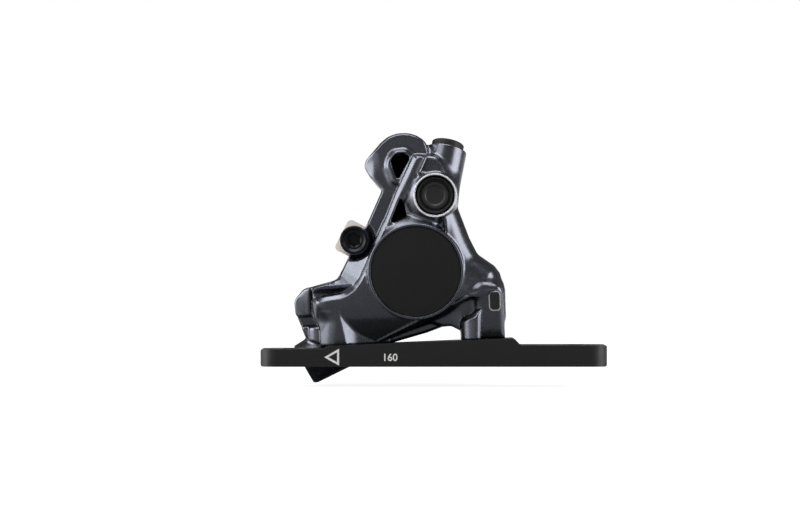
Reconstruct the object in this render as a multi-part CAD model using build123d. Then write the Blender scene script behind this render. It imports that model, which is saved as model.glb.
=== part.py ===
from build123d import *
import math
import os

# Flat-mount hydraulic disc brake caliper on its fork adapter plate.
# Row frame: +X runs down the fork towards the wheel axle, +Y inboard across the rotor,
# +Z away from the fork. The origin lies midway between the two fork bolt slots, on the
# plate's underside.

os.makedirs("parts", exist_ok=True)

# Mounting and wheel, the standard sizes that the caliper is built around
bolt_spacing = 34.0
fork_spacing = 70.0
rotor_radius = 80.0
rotor_offset = 14.0
fork_bolt_radius = 2.5
fork_bolt_head_radius = 4.5
caliper_bolt_radius = 2.5

# Seat of the caliper on the plate
seat_x = -5.0
seat_z = 6.0
seat_tilt = 2.4

# Hydraulics
piston_diameter = 22.0
piston_length = 9.5
piston_travel = 1.3
fluid_gap = 0.9
passage_radius = 0.9

# Pads, measured out from the rotor's middle plane
closed_pad_gap = 0.4
lining_thickness = 2.0
backing_thickness = 1.8
pad_play = 0.1
pad_width = 22.6
pad_length = 22.4
pad_bearing = 27.1

# Body casting
body_height = 52.0
rotor_slot_width = 4.8
rotor_tip_gap = 1.5
piston_inset = 6.8
axle_reach = 17.35
axle_radius = 2.0
end_wall = 2.0
lip_wall = 0.55

# Fits
running_clearance = 0.04
assembly_clearance = 0.05
loose_clearance = 0.2
overrun = 2.0

# Places on the body, as shares of the bolt spacing and the body height
piston_share = (0.037, 0.338)
valve_port_share = (0.201, 0.699)
bleed_rim_share = (0.309, 0.927)

# Depths out from the rotor's middle plane
slot_depth = rotor_slot_width / 2
lining_depth = closed_pad_gap / 2 + piston_travel
backing_depth = lining_depth + lining_thickness
pad_back_depth = backing_depth + backing_thickness
pocket_depth = pad_back_depth + pad_play
piston_face_depth = pad_back_depth + assembly_clearance
piston_rear_depth = piston_face_depth + piston_length
bore_end_depth = piston_rear_depth + fluid_gap
piston_radius = piston_diameter / 2
bore_radius = piston_radius + running_clearance


def on_body(u, v):
    """A place on the casting, along and above its seat, in the row frame."""
    tilt = math.radians(seat_tilt)
    x = seat_x + u * math.cos(tilt) - v * math.sin(tilt)
    z = seat_z + u * math.sin(tilt) + v * math.cos(tilt)
    return (x, z)


def at_share(share):
    return on_body(share[0] * bolt_spacing, share[1] * body_height)


def side_plane(depth):
    """The side view's plane, that far outboard of the rotor's middle plane."""
    return Plane(origin=(0, rotor_offset - depth, 0), x_dir=(1, 0, 0), z_dir=(0, -1, 0))


def cross_axis(place, side):
    """An axis across the rotor, its +Z outboard for side 1 and inboard for side -1."""
    origin = (place[0], rotor_offset, place[1])
    return Plane(origin=origin, x_dir=(side, 0, 0), z_dir=(0, -side, 0))


def turned(profile, plane):
    """A turned piece from (radius, height) points about the plane's normal."""
    half_section = Plane.XZ * make_face(Polyline(*profile, close=True))
    return plane.location * revolve(half_section, Axis.Z)


def bar(radius, low, high, plane):
    return turned([(0, low), (radius, low), (radius, high), (0, high)], plane)


def ring(inner, outer, low, high, plane):
    return turned([(inner, low), (outer, low), (outer, high), (inner, high)], plane)


def hex_socket(across_flats, low, high, plane):
    hexagon = RegularPolygon(across_flats / 2, 6, major_radius=False)
    return plane.location * Pos(0, 0, low) * extrude(hexagon, high - low)


def slab(points, near, far):
    """A side-view outline from one depth to another."""
    face = side_plane(near) * make_face(Polyline(*points, close=True))
    return extrude(face, far - near, dir=(0, -1, 0))


def rounded_slab(points, radii, near, far):
    path = FilletPolyline(*points, radius=radii, close=True)
    return extrude(side_plane(near) * make_face(path), far - near, dir=(0, -1, 0))


def facetted(low_points, low_depth, high_points, high_depth):
    """Straight facets between two outlines at two depths."""
    low_face = side_plane(low_depth) * make_face(Polyline(*low_points, close=True))
    high_face = side_plane(high_depth) * make_face(Polyline(*high_points, close=True))
    return loft([low_face, high_face], ruled=True)


def drilling(start, end, radius):
    """A round hole between two points."""
    path = Vector(*end) - Vector(*start)
    return bar(radius, 0, path.length, Plane(origin=start, z_dir=path))


# Main centres and directions in the row frame
seat_angle = math.radians(seat_tilt)
seat_along = (math.cos(seat_angle), 0, math.sin(seat_angle))
seat_up = (-math.sin(seat_angle), 0, math.cos(seat_angle))
piston_centre = at_share(piston_share)
valve_centre = at_share(valve_port_share)
bearing = math.radians(pad_bearing)
outward = (-math.cos(bearing), math.sin(bearing))
axle_centre = (
    piston_centre[0] + axle_reach * outward[0],
    piston_centre[1] + axle_reach * outward[1],
)
brake_radius = rotor_radius - piston_inset
wheel_centre = (
    piston_centre[0] - brake_radius * outward[0],
    piston_centre[1] - brake_radius * outward[1],
)
outboard_piston_axis = cross_axis(piston_centre, 1)
inboard_piston_axis = cross_axis(piston_centre, -1)
outboard_pin_axis = cross_axis(axle_centre, 1)
inboard_pin_axis = cross_axis(axle_centre, -1)
valve_axis = cross_axis(valve_centre, 1)


def pad_plane(depth):
    """Local x runs out from the wheel along the pad, the origin on the piston's axis."""
    origin = (piston_centre[0], rotor_offset - depth, piston_centre[1])
    return Plane(origin=origin, x_dir=(outward[0], 0, outward[1]), z_dir=(0, -1, 0))


# Adapter plate
plate_end = 8.125
plate_width = 18.0
plate_corner = 4.0
plate_edge = 0.6
upper_thickness = 4.4
lower_thickness = 5.35
fork_slot_clearance = 0.2
fork_slot_travel = 4.0
seat_upper_end = 21.0
seat_lower_end = 25.0
seat_ramp = 1.6
bolt_head_radius = 4.2
bolt_head_height = 2.8
bolt_head_clearance = 0.3
plate_web = 2.2
bolt_hole_clearance = 0.25
plate_length = fork_spacing + 2 * plate_end


def bolt_axis(side):
    """A caliper bolt's axis, square to the seat, its +Z up out of the plate."""
    place = on_body(side * bolt_spacing / 2, 0)
    return Plane(origin=(place[0], 0, place[1]), x_dir=(0, 1, 0), z_dir=seat_up)


def make_mount_plate():
    half = plate_length / 2
    side_points = [
        (-half, 0),
        (half, 0),
        (half, lower_thickness),
        (on_body(seat_lower_end, 0)[0] + seat_ramp, lower_thickness),
        on_body(seat_lower_end, 0),
        on_body(-seat_upper_end, 0),
        (on_body(-seat_upper_end, 0)[0] - seat_ramp, upper_thickness),
        (-half, upper_thickness),
    ]
    side_path = FilletPolyline(*side_points, radius=plate_edge, close=True)
    inboard_edge = Plane(origin=(0, plate_width / 2, 0), x_dir=(1, 0, 0), z_dir=(0, -1, 0))
    side_view = extrude(inboard_edge * make_face(side_path), plate_width, dir=(0, -1, 0))
    plan_height = seat_z + seat_lower_end
    plan_view = extrude(RectangleRounded(plate_length, plate_width, plate_corner), plan_height)
    plate = side_view & plan_view
    slot_width = 2 * (fork_bolt_radius + fork_slot_clearance)
    for side in (-1, 1):
        slot = extrude(SlotCenterToCenter(fork_slot_travel, slot_width, rotation=90), plan_height)
        plate -= Pos(side * fork_spacing / 2, 0, 0) * slot
        axis = bolt_axis(side)
        plate -= bar(caliper_bolt_radius + bolt_hole_clearance, -plan_height, overrun, axis)
        plate -= bar(bolt_head_radius + bolt_head_clearance, -plan_height, -plate_web, axis)
    return plate


# Caliper bolts, screwed up into the feet from beneath the plate
bolt_engagement = 9.0
bolt_socket = 4.0
bolt_socket_depth = 1.8
bolt_tip_chamfer = 0.6


def make_plate_bolt(side):
    axis = bolt_axis(side)
    shank = caliper_bolt_radius - assembly_clearance
    head_low = -plate_web - bolt_head_height
    profile = [
        (0, head_low),
        (bolt_head_radius, head_low),
        (bolt_head_radius, -plate_web),
        (shank, -plate_web),
        (shank, bolt_engagement - bolt_tip_chamfer),
        (shank - bolt_tip_chamfer, bolt_engagement),
        (0, bolt_engagement),
    ]
    return turned(profile, axis) - hex_socket(bolt_socket, head_low, head_low + bolt_socket_depth, axis)


# Outboard half: a plateau that carries the neck, and above it the front face between
# its crisp ridges
plateau_wall = 8.6
ridge_rise = 4.0
plateau_shares = [
    (-0.100, 0.900),
    (-0.190, 0.735),
    (-0.308, 0.570),
    (-0.455, 0.420),
    (-0.535, 0.318),
    (-0.600, 0.304),
    (-0.735, 0.284),
    (-0.735, 0.140),
    (-0.660, 0.060),
    (-0.615, 0.000),
    (-0.143, 0.004),
    (0.102, 0.043),
    (0.225, 0.069),
    (0.345, 0.060),
    (0.665, 0.100),
    (0.672, 0.266),
    (0.645, 0.335),
    (0.499, 0.407),
    (0.443, 0.486),
    (0.361, 0.640),
    (0.368, 0.700),
    (0.300, 0.880),
]
step_shares = [
    (0.024, 0.908),
    (-0.106, 0.725),
    (-0.182, 0.615),
    (-0.268, 0.495),
    (-0.440, 0.415),
    (-0.520, 0.318),
    (-0.600, 0.262),
    (-0.732, 0.238),
    (-0.732, 0.140),
    (-0.659, 0.063),
    (-0.640, 0.000),
    (-0.144, 0.004),
    (0.103, 0.044),
    (0.226, 0.069),
    (0.665, 0.100),
    (0.672, 0.267),
    (0.644, 0.333),
    (0.499, 0.408),
    (0.443, 0.487),
    (0.361, 0.640),
    (0.369, 0.685),
    (0.382, 0.846),
    (0.176, 0.933),
]
ridge_shares = [
    (0.068, 0.887),
    (-0.071, 0.713),
    (-0.147, 0.606),
    (-0.235, 0.486),
    (-0.309, 0.385),
    (-0.421, 0.267),
    (-0.529, 0.231),
    (-0.676, 0.219),
    (-0.676, 0.140),
    (-0.632, 0.067),
    (-0.570, 0.000),
    (-0.269, 0.000),
    (0.050, 0.079),
    (0.235, 0.129),
    (0.629, 0.233),
    (0.653, 0.265),
    (0.600, 0.319),
    (0.400, 0.394),
    (0.382, 0.481),
    (0.279, 0.596),
    (0.309, 0.702),
    (0.221, 0.846),
    (0.132, 0.894),
]
plateau_depth = pocket_depth + plateau_wall
ridge_depth = bore_end_depth + ridge_rise

# Where the outboard half leans back below the bore cap
skirt_shares = [(-0.750, 0.176), (0.750, 0.032)]
skirt_lean = 37.7

# Inboard half, which hangs inboard of the plate and has no foot
inboard_flank_wall = 4.2
inboard_plateau_rise = 0.4
inboard_shares = [
    (-0.100, 0.900),
    (-0.190, 0.735),
    (-0.308, 0.570),
    (-0.455, 0.420),
    (-0.560, 0.306),
    (-0.760, 0.276),
    (-0.800, 0.120),
    (-0.660, 0.030),
    (-0.143, 0.030),
    (0.102, 0.045),
    (0.330, 0.100),
    (0.520, 0.260),
    (0.495, 0.400),
    (0.443, 0.486),
    (0.361, 0.640),
    (0.300, 0.850),
]
inboard_face_shares = [
    (-0.050, 0.860),
    (-0.120, 0.720),
    (-0.220, 0.570),
    (-0.360, 0.420),
    (-0.460, 0.270),
    (-0.660, 0.240),
    (-0.680, 0.120),
    (-0.600, 0.075),
    (-0.160, 0.085),
    (0.090, 0.090),
    (0.290, 0.140),
    (0.450, 0.270),
    (0.420, 0.390),
    (0.370, 0.470),
    (0.290, 0.620),
    (0.200, 0.800),
]
inboard_flank_depth = pocket_depth + inboard_flank_wall
inboard_plateau_depth = bore_end_depth + inboard_plateau_rise
inboard_face_depth = bore_end_depth + end_wall

# Hook: the upper bridge over the rotor's edge
hook_back_wall = 8.6
hook_edge = 1.4
hook_shares = [
    (-0.190, 0.735),
    (-0.328, 0.855),
    (-0.121, 1.003),
    (0.074, 1.003),
    (0.173, 0.953),
    (0.168, 0.810),
    (0.000, 0.700),
]
hook_radii = [2.0, 2.2, 6.0, 5.0, 2.5, 2.0, 2.0]
pocket_hole_shares = [(-0.118, 0.880), (-0.060, 0.915), (0.040, 0.895), (-0.070, 0.775)]
pocket_hole_radii = [1.4, 1.2, 1.0, 0.7]
pocket_hole_depth = 7.0
web_hole_shares = [(-0.050, 0.700), (-0.132, 0.576), (-0.020, 0.607)]
web_hole_radius = 0.5
web_hole_depth = 4.0
loop_rise = 2.3
loop_wall = 0.85
loop_draft = 28.8

# Lower bridge over the rotor's edge, beside the fork bolt
bridge_shares = [
    (-0.500, 0.318),
    (-0.620, 0.301),
    (-0.795, 0.276),
    (-0.868, 0.222),
    (-0.862, 0.160),
    (-0.790, 0.030),
    (-0.660, 0.000),
    (-0.500, 0.000),
    (-0.400, 0.150),
]
bridge_radii = [1.0, 1.5, 2.5, 2.5, 4.0, 2.5, 1.0, 1.0, 1.0]
bridge_back_wall = 8.0
bridge_front_wall = 5.8
notch_rise = 4.9
notch_height = 2.6
notch_wall = 0.6
relief_clearance = 0.4

# Piston bores and the boss round the outboard one
cap_thickness = 5.4
cap_diameter = 22.5
cap_recess = 0.2
boss_flare = 3.6
boss_flare_depth = 6.0
boss_lip = 0.8
boss_lip_draft = 0.4
inboard_boss_wall = 3.2
inboard_boss_chamfer = 1.2
seal_width = 2.0
seal_height = 1.35
seal_setback = 1.8
seal_side_play = 0.05
cap_radius = cap_diameter / 2
cap_seat_radius = cap_radius + assembly_clearance
lip_radius = cap_seat_radius + lip_wall
lip_depth = bore_end_depth + cap_thickness + cap_recess
seal_depth = pocket_depth + seal_setback
groove_radius = bore_radius + seal_height

# Feet that stand on the plate
foot_half_width = 6.6
left_foot_height = 11.6
left_flank_reach = 10.5
left_flank_height = 8.6
left_flank_rise = 5.6
right_foot_reach = 6.0
right_foot_inner = 4.4
right_foot_height = 13.0
foot_corner = 1.6
bolt_hole_depth = 10.0

# Ears that carry the pad axle
ear_radius = 3.4
ear_wall = 6.4
spotface_radius = 5.2
ear_depth = pocket_depth + ear_wall

# Ports
valve_boss_radius = 5.7
valve_boss_rise = 1.2
valve_port_radius = 4.9
valve_port_depth = 7.0
valve_screw_radius = 3.4
valve_screw_length = 5.4
valve_face_depth = ridge_depth + valve_boss_rise
valve_step_depth = valve_face_depth - valve_port_depth
valve_floor_depth = valve_step_depth - valve_screw_length
bleed_boss_radius = 5.0
bleed_boss_length = 14.0
bleed_bore_radius = 3.3
bleed_bore_depth = 6.5
bleed_lean_side = 13.5
bleed_lean_inboard = 17.0
bleed_rim_wall = 3.6
hose_boss_radius = 5.3
hose_boss_length = 15.0
hose_bore_radius = 3.6
hose_bore_depth = 9.0
hose_slope = 29.0
hose_offset = -2.5
hose_end_share = (-0.809, -0.087)

# Windows in the feet for the bolt retainers
window_width = 2.4
window_height = 4.4
window_depth = 3.0
window_corner = 0.8
window_rise = 9.5
right_window_inset = 2.4
left_window_rise = 6.1


def bleed_axis():
    """The bleed port's axis, its origin on the rim and its +Z out of the port."""
    tilt = math.radians(bleed_lean_side - seat_tilt)
    lean = math.radians(bleed_lean_inboard)
    place = at_share(bleed_rim_share)
    depth = pocket_depth + bleed_rim_wall
    up = (math.sin(tilt) * math.cos(lean), math.sin(lean), math.cos(tilt) * math.cos(lean))
    return Plane(origin=(place[0], rotor_offset - depth, place[1]), x_dir=(0, 1, 0), z_dir=up)


def hose_axis():
    """The hose port's axis, its origin on the end face and its +Z out of the port."""
    slope = math.radians(hose_slope)
    place = at_share(hose_end_share)
    out = (-math.cos(slope), 0, -math.sin(slope))
    return Plane(origin=(place[0], rotor_offset - hose_offset, place[1]), x_dir=(0, 1, 0), z_dir=out)


def seat_plane(u, v, y, out):
    """A plane on the casting at a place along its seat, its +Z along a direction."""
    place = on_body(u, v)
    return Plane(origin=(place[0], y, place[1]), x_dir=seat_along, z_dir=out)


def foot_block(inner, outer, half_width, height):
    """A foot between two places along the seat, rounded in plan."""
    plan = RectangleRounded(outer - inner, 2 * half_width, foot_corner)
    return seat_plane((inner + outer) / 2, 0, 0, seat_up).location * extrude(plan, height)


def window_block(plane, gap):
    """The block that fills a retainer window, drawn in by a gap all round."""
    outline = RectangleRounded(window_width - 2 * gap, window_height - 2 * gap, window_corner - gap)
    return plane.location * Pos(0, 0, gap - window_depth) * extrude(outline, window_depth - 2 * gap)


def window_planes():
    """The left retainer faces up the fork, the right one faces outboard."""
    left_place = on_body(-bolt_spacing / 2 - foot_half_width, left_window_rise)
    left_out = (-seat_along[0], 0, -seat_along[2])
    left = Plane(origin=(left_place[0], 0, left_place[1]), x_dir=(0, -1, 0), z_dir=left_out)
    right_u = bolt_spacing / 2 + right_foot_reach - right_window_inset
    return [left, seat_plane(right_u, window_rise, -foot_half_width, (0, -1, 0))]


def leaning_cut(shares, depth, lean, reach):
    """A wedge off the front, to the right of a line between two places, leaning back from it."""
    start = at_share(shares[0])
    end = at_share(shares[1])
    path = Vector(end[0] - start[0], 0, end[1] - start[1])
    origin = (start[0], rotor_offset - depth, start[1])
    back = -reach * math.tan(math.radians(lean))
    points = [(0, 0), (reach, 0), (reach, reach), (back, reach)]
    plane = Plane(origin=origin, x_dir=(0, -1, 0), z_dir=path)
    return extrude(plane * make_face(Polyline(*points, close=True)), path.length)


def end_bridge():
    """The lower bridge, with the notch across its outboard end."""
    points = [at_share(share) for share in bridge_shares]
    front = pocket_depth + bridge_front_wall
    bridge = rounded_slab(points, bridge_radii, -pocket_depth - bridge_back_wall, front)
    mouth = bolt_spacing / 2 + foot_half_width
    notch_points = [
        on_body(-mouth, notch_rise),
        on_body(-mouth, notch_rise + notch_height),
        on_body(-bolt_spacing, notch_rise + notch_height),
        on_body(-bolt_spacing, notch_rise),
    ]
    return bridge - slab(notch_points, pocket_depth + notch_wall, front + overrun)


def pocket_loop():
    """The raised loop round the hook's pocket, drafted down to the hook's face."""
    points = [at_share(share) for share in pocket_hole_shares]
    path = FilletPolyline(*points, radius=pocket_hole_radii, close=True)
    spread = loop_wall + loop_rise * math.tan(math.radians(loop_draft))
    face = offset(side_plane(plateau_depth) * make_face(path), spread)
    return extrude(face, loop_rise, taper=loop_draft)


def make_body_blank():
    """The forged form before it is bored and slotted."""
    plateau = [at_share(share) for share in plateau_shares]
    step = [at_share(share) for share in step_shares]
    ridge = [at_share(share) for share in ridge_shares]
    body = slab(plateau, 0, plateau_depth)
    body += facetted(step, plateau_depth, ridge, ridge_depth)
    body -= leaning_cut(skirt_shares, ridge_depth, skirt_lean, bolt_spacing / 2)

    inboard = [at_share(share) for share in inboard_shares]
    inboard_face = [at_share(share) for share in inboard_face_shares]
    body += slab(inboard, -inboard_flank_depth, 0)
    body += facetted(inboard, -inboard_flank_depth, inboard_face, -inboard_plateau_depth)

    hook_points = [at_share(share) for share in hook_shares]
    hook = rounded_slab(hook_points, hook_radii, -pocket_depth - hook_back_wall, plateau_depth)
    hook = chamfer(hook.edges().filter_by(GeomType.LINE, reverse=True).group_by(Axis.Y)[0], hook_edge)
    body += hook + pocket_loop()
    body += end_bridge()

    boss_profile = [
        (0, 0),
        (lip_radius + boss_flare, 0),
        (lip_radius + boss_flare, lip_depth - boss_flare_depth),
        (lip_radius + boss_lip_draft, lip_depth - boss_lip),
        (lip_radius, lip_depth),
        (0, lip_depth),
    ]
    body += turned(boss_profile, outboard_piston_axis)
    inboard_boss = bore_radius + inboard_boss_wall
    back_profile = [
        (0, 0),
        (inboard_boss, 0),
        (inboard_boss, inboard_face_depth - inboard_boss_chamfer),
        (inboard_boss - inboard_boss_chamfer, inboard_face_depth),
        (0, inboard_face_depth),
    ]
    body += turned(back_profile, inboard_piston_axis)

    half = bolt_spacing / 2
    body += bar(foot_half_width, 0, left_foot_height, bolt_axis(-1))
    flank_points = [(0, 0), (left_flank_reach, 0), (0, -left_flank_rise)]
    flank_face = make_face(Polyline(*flank_points, close=True))
    body += seat_plane(-half, 0, 0, seat_up).location * extrude(flank_face, left_flank_height)
    body += foot_block(half - right_foot_inner, half + right_foot_reach, foot_half_width, right_foot_height)
    body += bar(valve_boss_radius, 0, valve_face_depth, valve_axis)
    body += bar(bleed_boss_radius, -bleed_boss_length, 0, bleed_axis())
    body += bar(hose_boss_radius, -hose_boss_length, 0, hose_axis())
    ear_root = Pos(axle_reach / 2, 0) * Rectangle(axle_reach, 2 * ear_radius)
    for axis in (outboard_pin_axis, inboard_pin_axis):
        body += bar(ear_radius, pocket_depth, ear_depth, axis)
    for depth in (-ear_depth, pocket_depth):
        body += extrude(pad_plane(depth) * ear_root, ear_wall)
    return body


def piston_bore_cut(axis):
    """A piston's bore, with the groove for its seal."""
    profile = [
        (0, 0),
        (bore_radius, 0),
        (bore_radius, seal_depth),
        (groove_radius, seal_depth),
        (groove_radius, seal_depth + seal_width + 2 * seal_side_play),
        (bore_radius, seal_depth + seal_width + 2 * seal_side_play),
        (bore_radius, bore_end_depth),
        (0, bore_end_depth),
    ]
    return turned(profile, axis)


# Drilled passages between the two bores, the valve, the bleed port and the hose
bridge_passage_share = (0.059, 0.952)
plug_radius = 1.6
plug_length = 3.0
plug_recess = 0.3
cross_passage_wall = 4.1


def bridge_passage_ends():
    """The drilling over the rotor, from inside the outboard half to the inboard face."""
    place = at_share(bridge_passage_share)
    start = (place[0], rotor_offset - pocket_depth - cross_passage_wall, place[1])
    end = (place[0], rotor_offset + pocket_depth + hook_back_wall, place[1])
    return start, end


def down_passage_ends():
    """The drilling from the hook's crown down to the inboard bore."""
    place = at_share(bridge_passage_share)
    depth = (piston_rear_depth + bore_end_depth) / 2
    rise = body_height * (1 - bridge_passage_share[1])
    low = (piston_centre[0], rotor_offset + depth, piston_centre[1] + piston_radius - fluid_gap)
    path_x = place[0] - low[0]
    path_z = place[1] - low[2]
    stretch = 1 + rise / path_z
    back = rotor_offset + pocket_depth + hook_back_wall - plug_length
    crown = (low[0] + path_x * stretch, back, low[2] + path_z * stretch)
    return low, crown


def make_caliper_body():
    body = make_body_blank()

    # Slot for the rotor, pocket for the pads
    wheel_axis = cross_axis(wheel_centre, 1)
    body -= bar(rotor_radius + rotor_tip_gap, -slot_depth, slot_depth, wheel_axis)
    pocket_width = pad_width + 2 * loose_clearance
    pocket_inner = -pad_length / 2 - loose_clearance
    pocket_outer = axle_reach + body_height
    pocket_centre = (pocket_inner + pocket_outer) / 2
    pocket_face = Pos(pocket_centre, 0) * Rectangle(pocket_outer - pocket_inner, pocket_width)
    body -= extrude(pad_plane(-pocket_depth) * pocket_face, 2 * pocket_depth, dir=(0, -1, 0))

    # Piston bores, and the seat of the bore cap
    body -= piston_bore_cut(outboard_piston_axis)
    body -= piston_bore_cut(inboard_piston_axis)
    body -= bar(cap_seat_radius, bore_end_depth, lip_depth + overrun, outboard_piston_axis)

    # Pad axle, its spotfaces and its hole
    hole = axle_radius + assembly_clearance
    for axis in (outboard_pin_axis, inboard_pin_axis):
        body -= bar(spotface_radius, ear_depth, lip_depth + overrun, axis)
        body -= bar(hole, 0, ear_depth + overrun, axis)

    # Threaded holes in the feet, and the relief beside the upper fork bolt
    for side in (-1, 1):
        body -= bar(caliper_bolt_radius, -overrun, bolt_hole_depth, bolt_axis(side))
    relief = fork_bolt_head_radius + relief_clearance
    relief_top = Plane(origin=(-fork_spacing / 2, 0, 0))
    body -= bar(relief, 0, body_height, relief_top)
    relief_box = Box(2 * relief, body_height, body_height, align=(Align.CENTER, Align.MAX, Align.MIN))
    body -= Pos(-fork_spacing / 2, 0, 0) * relief_box
    for plane in window_planes():
        body -= window_block(plane, 0)

    # Valve port, bleed port, hose port
    body -= bar(valve_port_radius, valve_step_depth, valve_face_depth + overrun, valve_axis)
    body -= bar(valve_screw_radius + running_clearance, valve_floor_depth, valve_face_depth, valve_axis)
    body -= bar(bleed_bore_radius, -bleed_bore_depth, overrun, bleed_axis())
    body -= bar(hose_bore_radius, -hose_bore_depth, overrun, hose_axis())

    # Pockets that lighten the hook and the web below it
    hole_points = [at_share(share) for share in pocket_hole_shares]
    body -= rounded_slab(hole_points, pocket_hole_radii, plateau_depth - pocket_hole_depth, lip_depth)
    web_points = [at_share(share) for share in web_hole_shares]
    web_radii = [web_hole_radius] * len(web_points)
    body -= rounded_slab(web_points, web_radii, plateau_depth - web_hole_depth, lip_depth)

    # Fluid passages
    fluid_depth = (piston_rear_depth + bore_end_depth) / 2
    fluid_y = rotor_offset - fluid_depth
    valve_point = (valve_centre[0], fluid_y, valve_centre[1])
    body -= drilling(valve_point, (piston_centre[0], fluid_y, piston_centre[1]), passage_radius)
    bridge_start, bridge_end = bridge_passage_ends()
    body -= drilling(bridge_start, bridge_end, passage_radius)
    valve_floor = (valve_centre[0], bridge_start[1], valve_centre[1])
    body -= drilling(valve_floor, bridge_start, passage_radius)
    low, crown = down_passage_ends()
    body -= drilling(low, crown, passage_radius)
    port = bleed_axis()
    bleed_floor = port.origin - port.z_dir * bleed_bore_depth
    bleed_start = bleed_floor + port.z_dir * passage_radius
    body -= drilling(tuple(bleed_start), valve_floor, passage_radius)
    hose = hose_axis()
    hose_floor = hose.origin - hose.z_dir * (hose_bore_depth - passage_radius)
    far_side = -math.cos(bearing) * piston_radius
    low_side = -math.sin(bearing) * piston_radius
    bore_edge = (piston_centre[0] + far_side, rotor_offset + fluid_depth, piston_centre[1] + low_side)
    body -= drilling(tuple(hose_floor), bore_edge, passage_radius)
    body -= drilling(bridge_end, (bridge_end[0], bridge_end[1] - plug_length, bridge_end[2]), plug_radius)
    return body


def make_passage_plugs():
    """Pressed steel plugs that close the drilled passages."""
    start, end = bridge_passage_ends()
    inner = (end[0], end[1] - plug_length, end[2])
    outer = (end[0], end[1] - plug_recess, end[2])
    return [drilling(inner, outer, plug_radius - assembly_clearance)]


# Bore cap, screwed into the outboard bore behind its piston
cap_wall = 2.2
cap_inner_radius = 7.5
cap_groove_width = 1.5
cap_groove_height = 1.1
cap_edge = 0.35
cap_seal_radius = 0.55


def make_bore_cap():
    outer = bore_end_depth + cap_thickness
    groove_low = bore_end_depth + cap_groove_width
    profile = [
        (0, outer - cap_wall),
        (cap_inner_radius, outer - cap_wall),
        (cap_inner_radius, bore_end_depth),
        (cap_radius, bore_end_depth),
        (cap_radius, groove_low),
        (cap_radius - cap_groove_height, groove_low),
        (cap_radius - cap_groove_height, groove_low + cap_groove_width),
        (cap_radius, groove_low + cap_groove_width),
        (cap_radius, outer - cap_edge),
        (cap_radius - cap_edge, outer),
        (0, outer),
    ]
    return turned(profile, outboard_piston_axis)


def make_bore_cap_seal():
    height = bore_end_depth + 1.5 * cap_groove_width
    centre = cap_radius - cap_seal_radius
    section = Plane.XZ * Pos(centre, height) * Circle(cap_seal_radius)
    return outboard_piston_axis.location * revolve(section, Axis.Z)


# Pistons, cups that open towards the pads, and their square-section seals
piston_hollow_radius = 7.2
piston_floor = 3.0
piston_chamfer = 0.4


def make_piston(axis):
    profile = [
        (0, piston_rear_depth - piston_floor),
        (piston_hollow_radius, piston_rear_depth - piston_floor),
        (piston_hollow_radius, piston_face_depth),
        (piston_radius - piston_chamfer, piston_face_depth),
        (piston_radius, piston_face_depth + piston_chamfer),
        (piston_radius, piston_rear_depth - piston_chamfer),
        (piston_radius - piston_chamfer, piston_rear_depth),
        (0, piston_rear_depth),
    ]
    return turned(profile, axis)


def make_piston_seal(axis):
    low = seal_depth + seal_side_play
    inner = piston_radius + running_clearance / 2
    return ring(inner, groove_radius - assembly_clearance, low, low + seal_width, axis)


# Pads: a stamped steel backing with a hanging tab, and a moulded lining
tab_width = 8.6
tab_overreach = 3.6
pad_corner = 2.4
tab_corner = 1.2
pad_shoulder = 2.0
lining_side_margin = 1.9
lining_end_margin = 2.1
lining_corner = 3.0
tab_hole_clearance = 0.15


def pad_side(side, low, high, face):
    """A flat pad piece between two depths, on the outboard or the inboard side."""
    near = low if side > 0 else -high
    return extrude(pad_plane(near) * face, high - low, dir=(0, -1, 0))


def make_pad_backing(side):
    half_length = pad_length / 2
    half_width = pad_width / 2
    half_tab = tab_width / 2
    tab_end = axle_reach + tab_overreach
    points = [
        (-half_length, -half_width),
        (half_length - pad_shoulder, -half_width),
        (half_length, -half_tab - pad_shoulder),
        (half_length, -half_tab),
        (tab_end, -half_tab),
        (tab_end, half_tab),
        (half_length, half_tab),
        (half_length, half_tab + pad_shoulder),
        (half_length - pad_shoulder, half_width),
        (-half_length, half_width),
    ]
    round_shoulder = pad_shoulder / 4
    radii = [pad_corner, round_shoulder, round_shoulder, round_shoulder, tab_corner]
    path = FilletPolyline(*points, radius=radii + radii[::-1], close=True)
    face = make_face(path) - Pos(axle_reach, 0) * Circle(axle_radius + tab_hole_clearance)
    return pad_side(side, backing_depth, pad_back_depth, face)


def make_pad_lining(side):
    length = pad_length - 2 * lining_end_margin
    width = pad_width - 2 * lining_side_margin
    block = pad_side(side, lining_depth, backing_depth, RectangleRounded(length, width, lining_corner))
    return block


# Pad spring: one bent steel sheet that rides on the axle and spreads the pads
spring_sheet = 0.3
spring_gap = 0.05
spring_tab_width = 7.0
spring_tab_overreach = 2.6
spring_bar_width = 1.8
spring_leg_width = 1.2
spring_leg_reach = 7.0
spring_side_margin = 0.25
spring_bridge_width = 6.0


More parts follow.
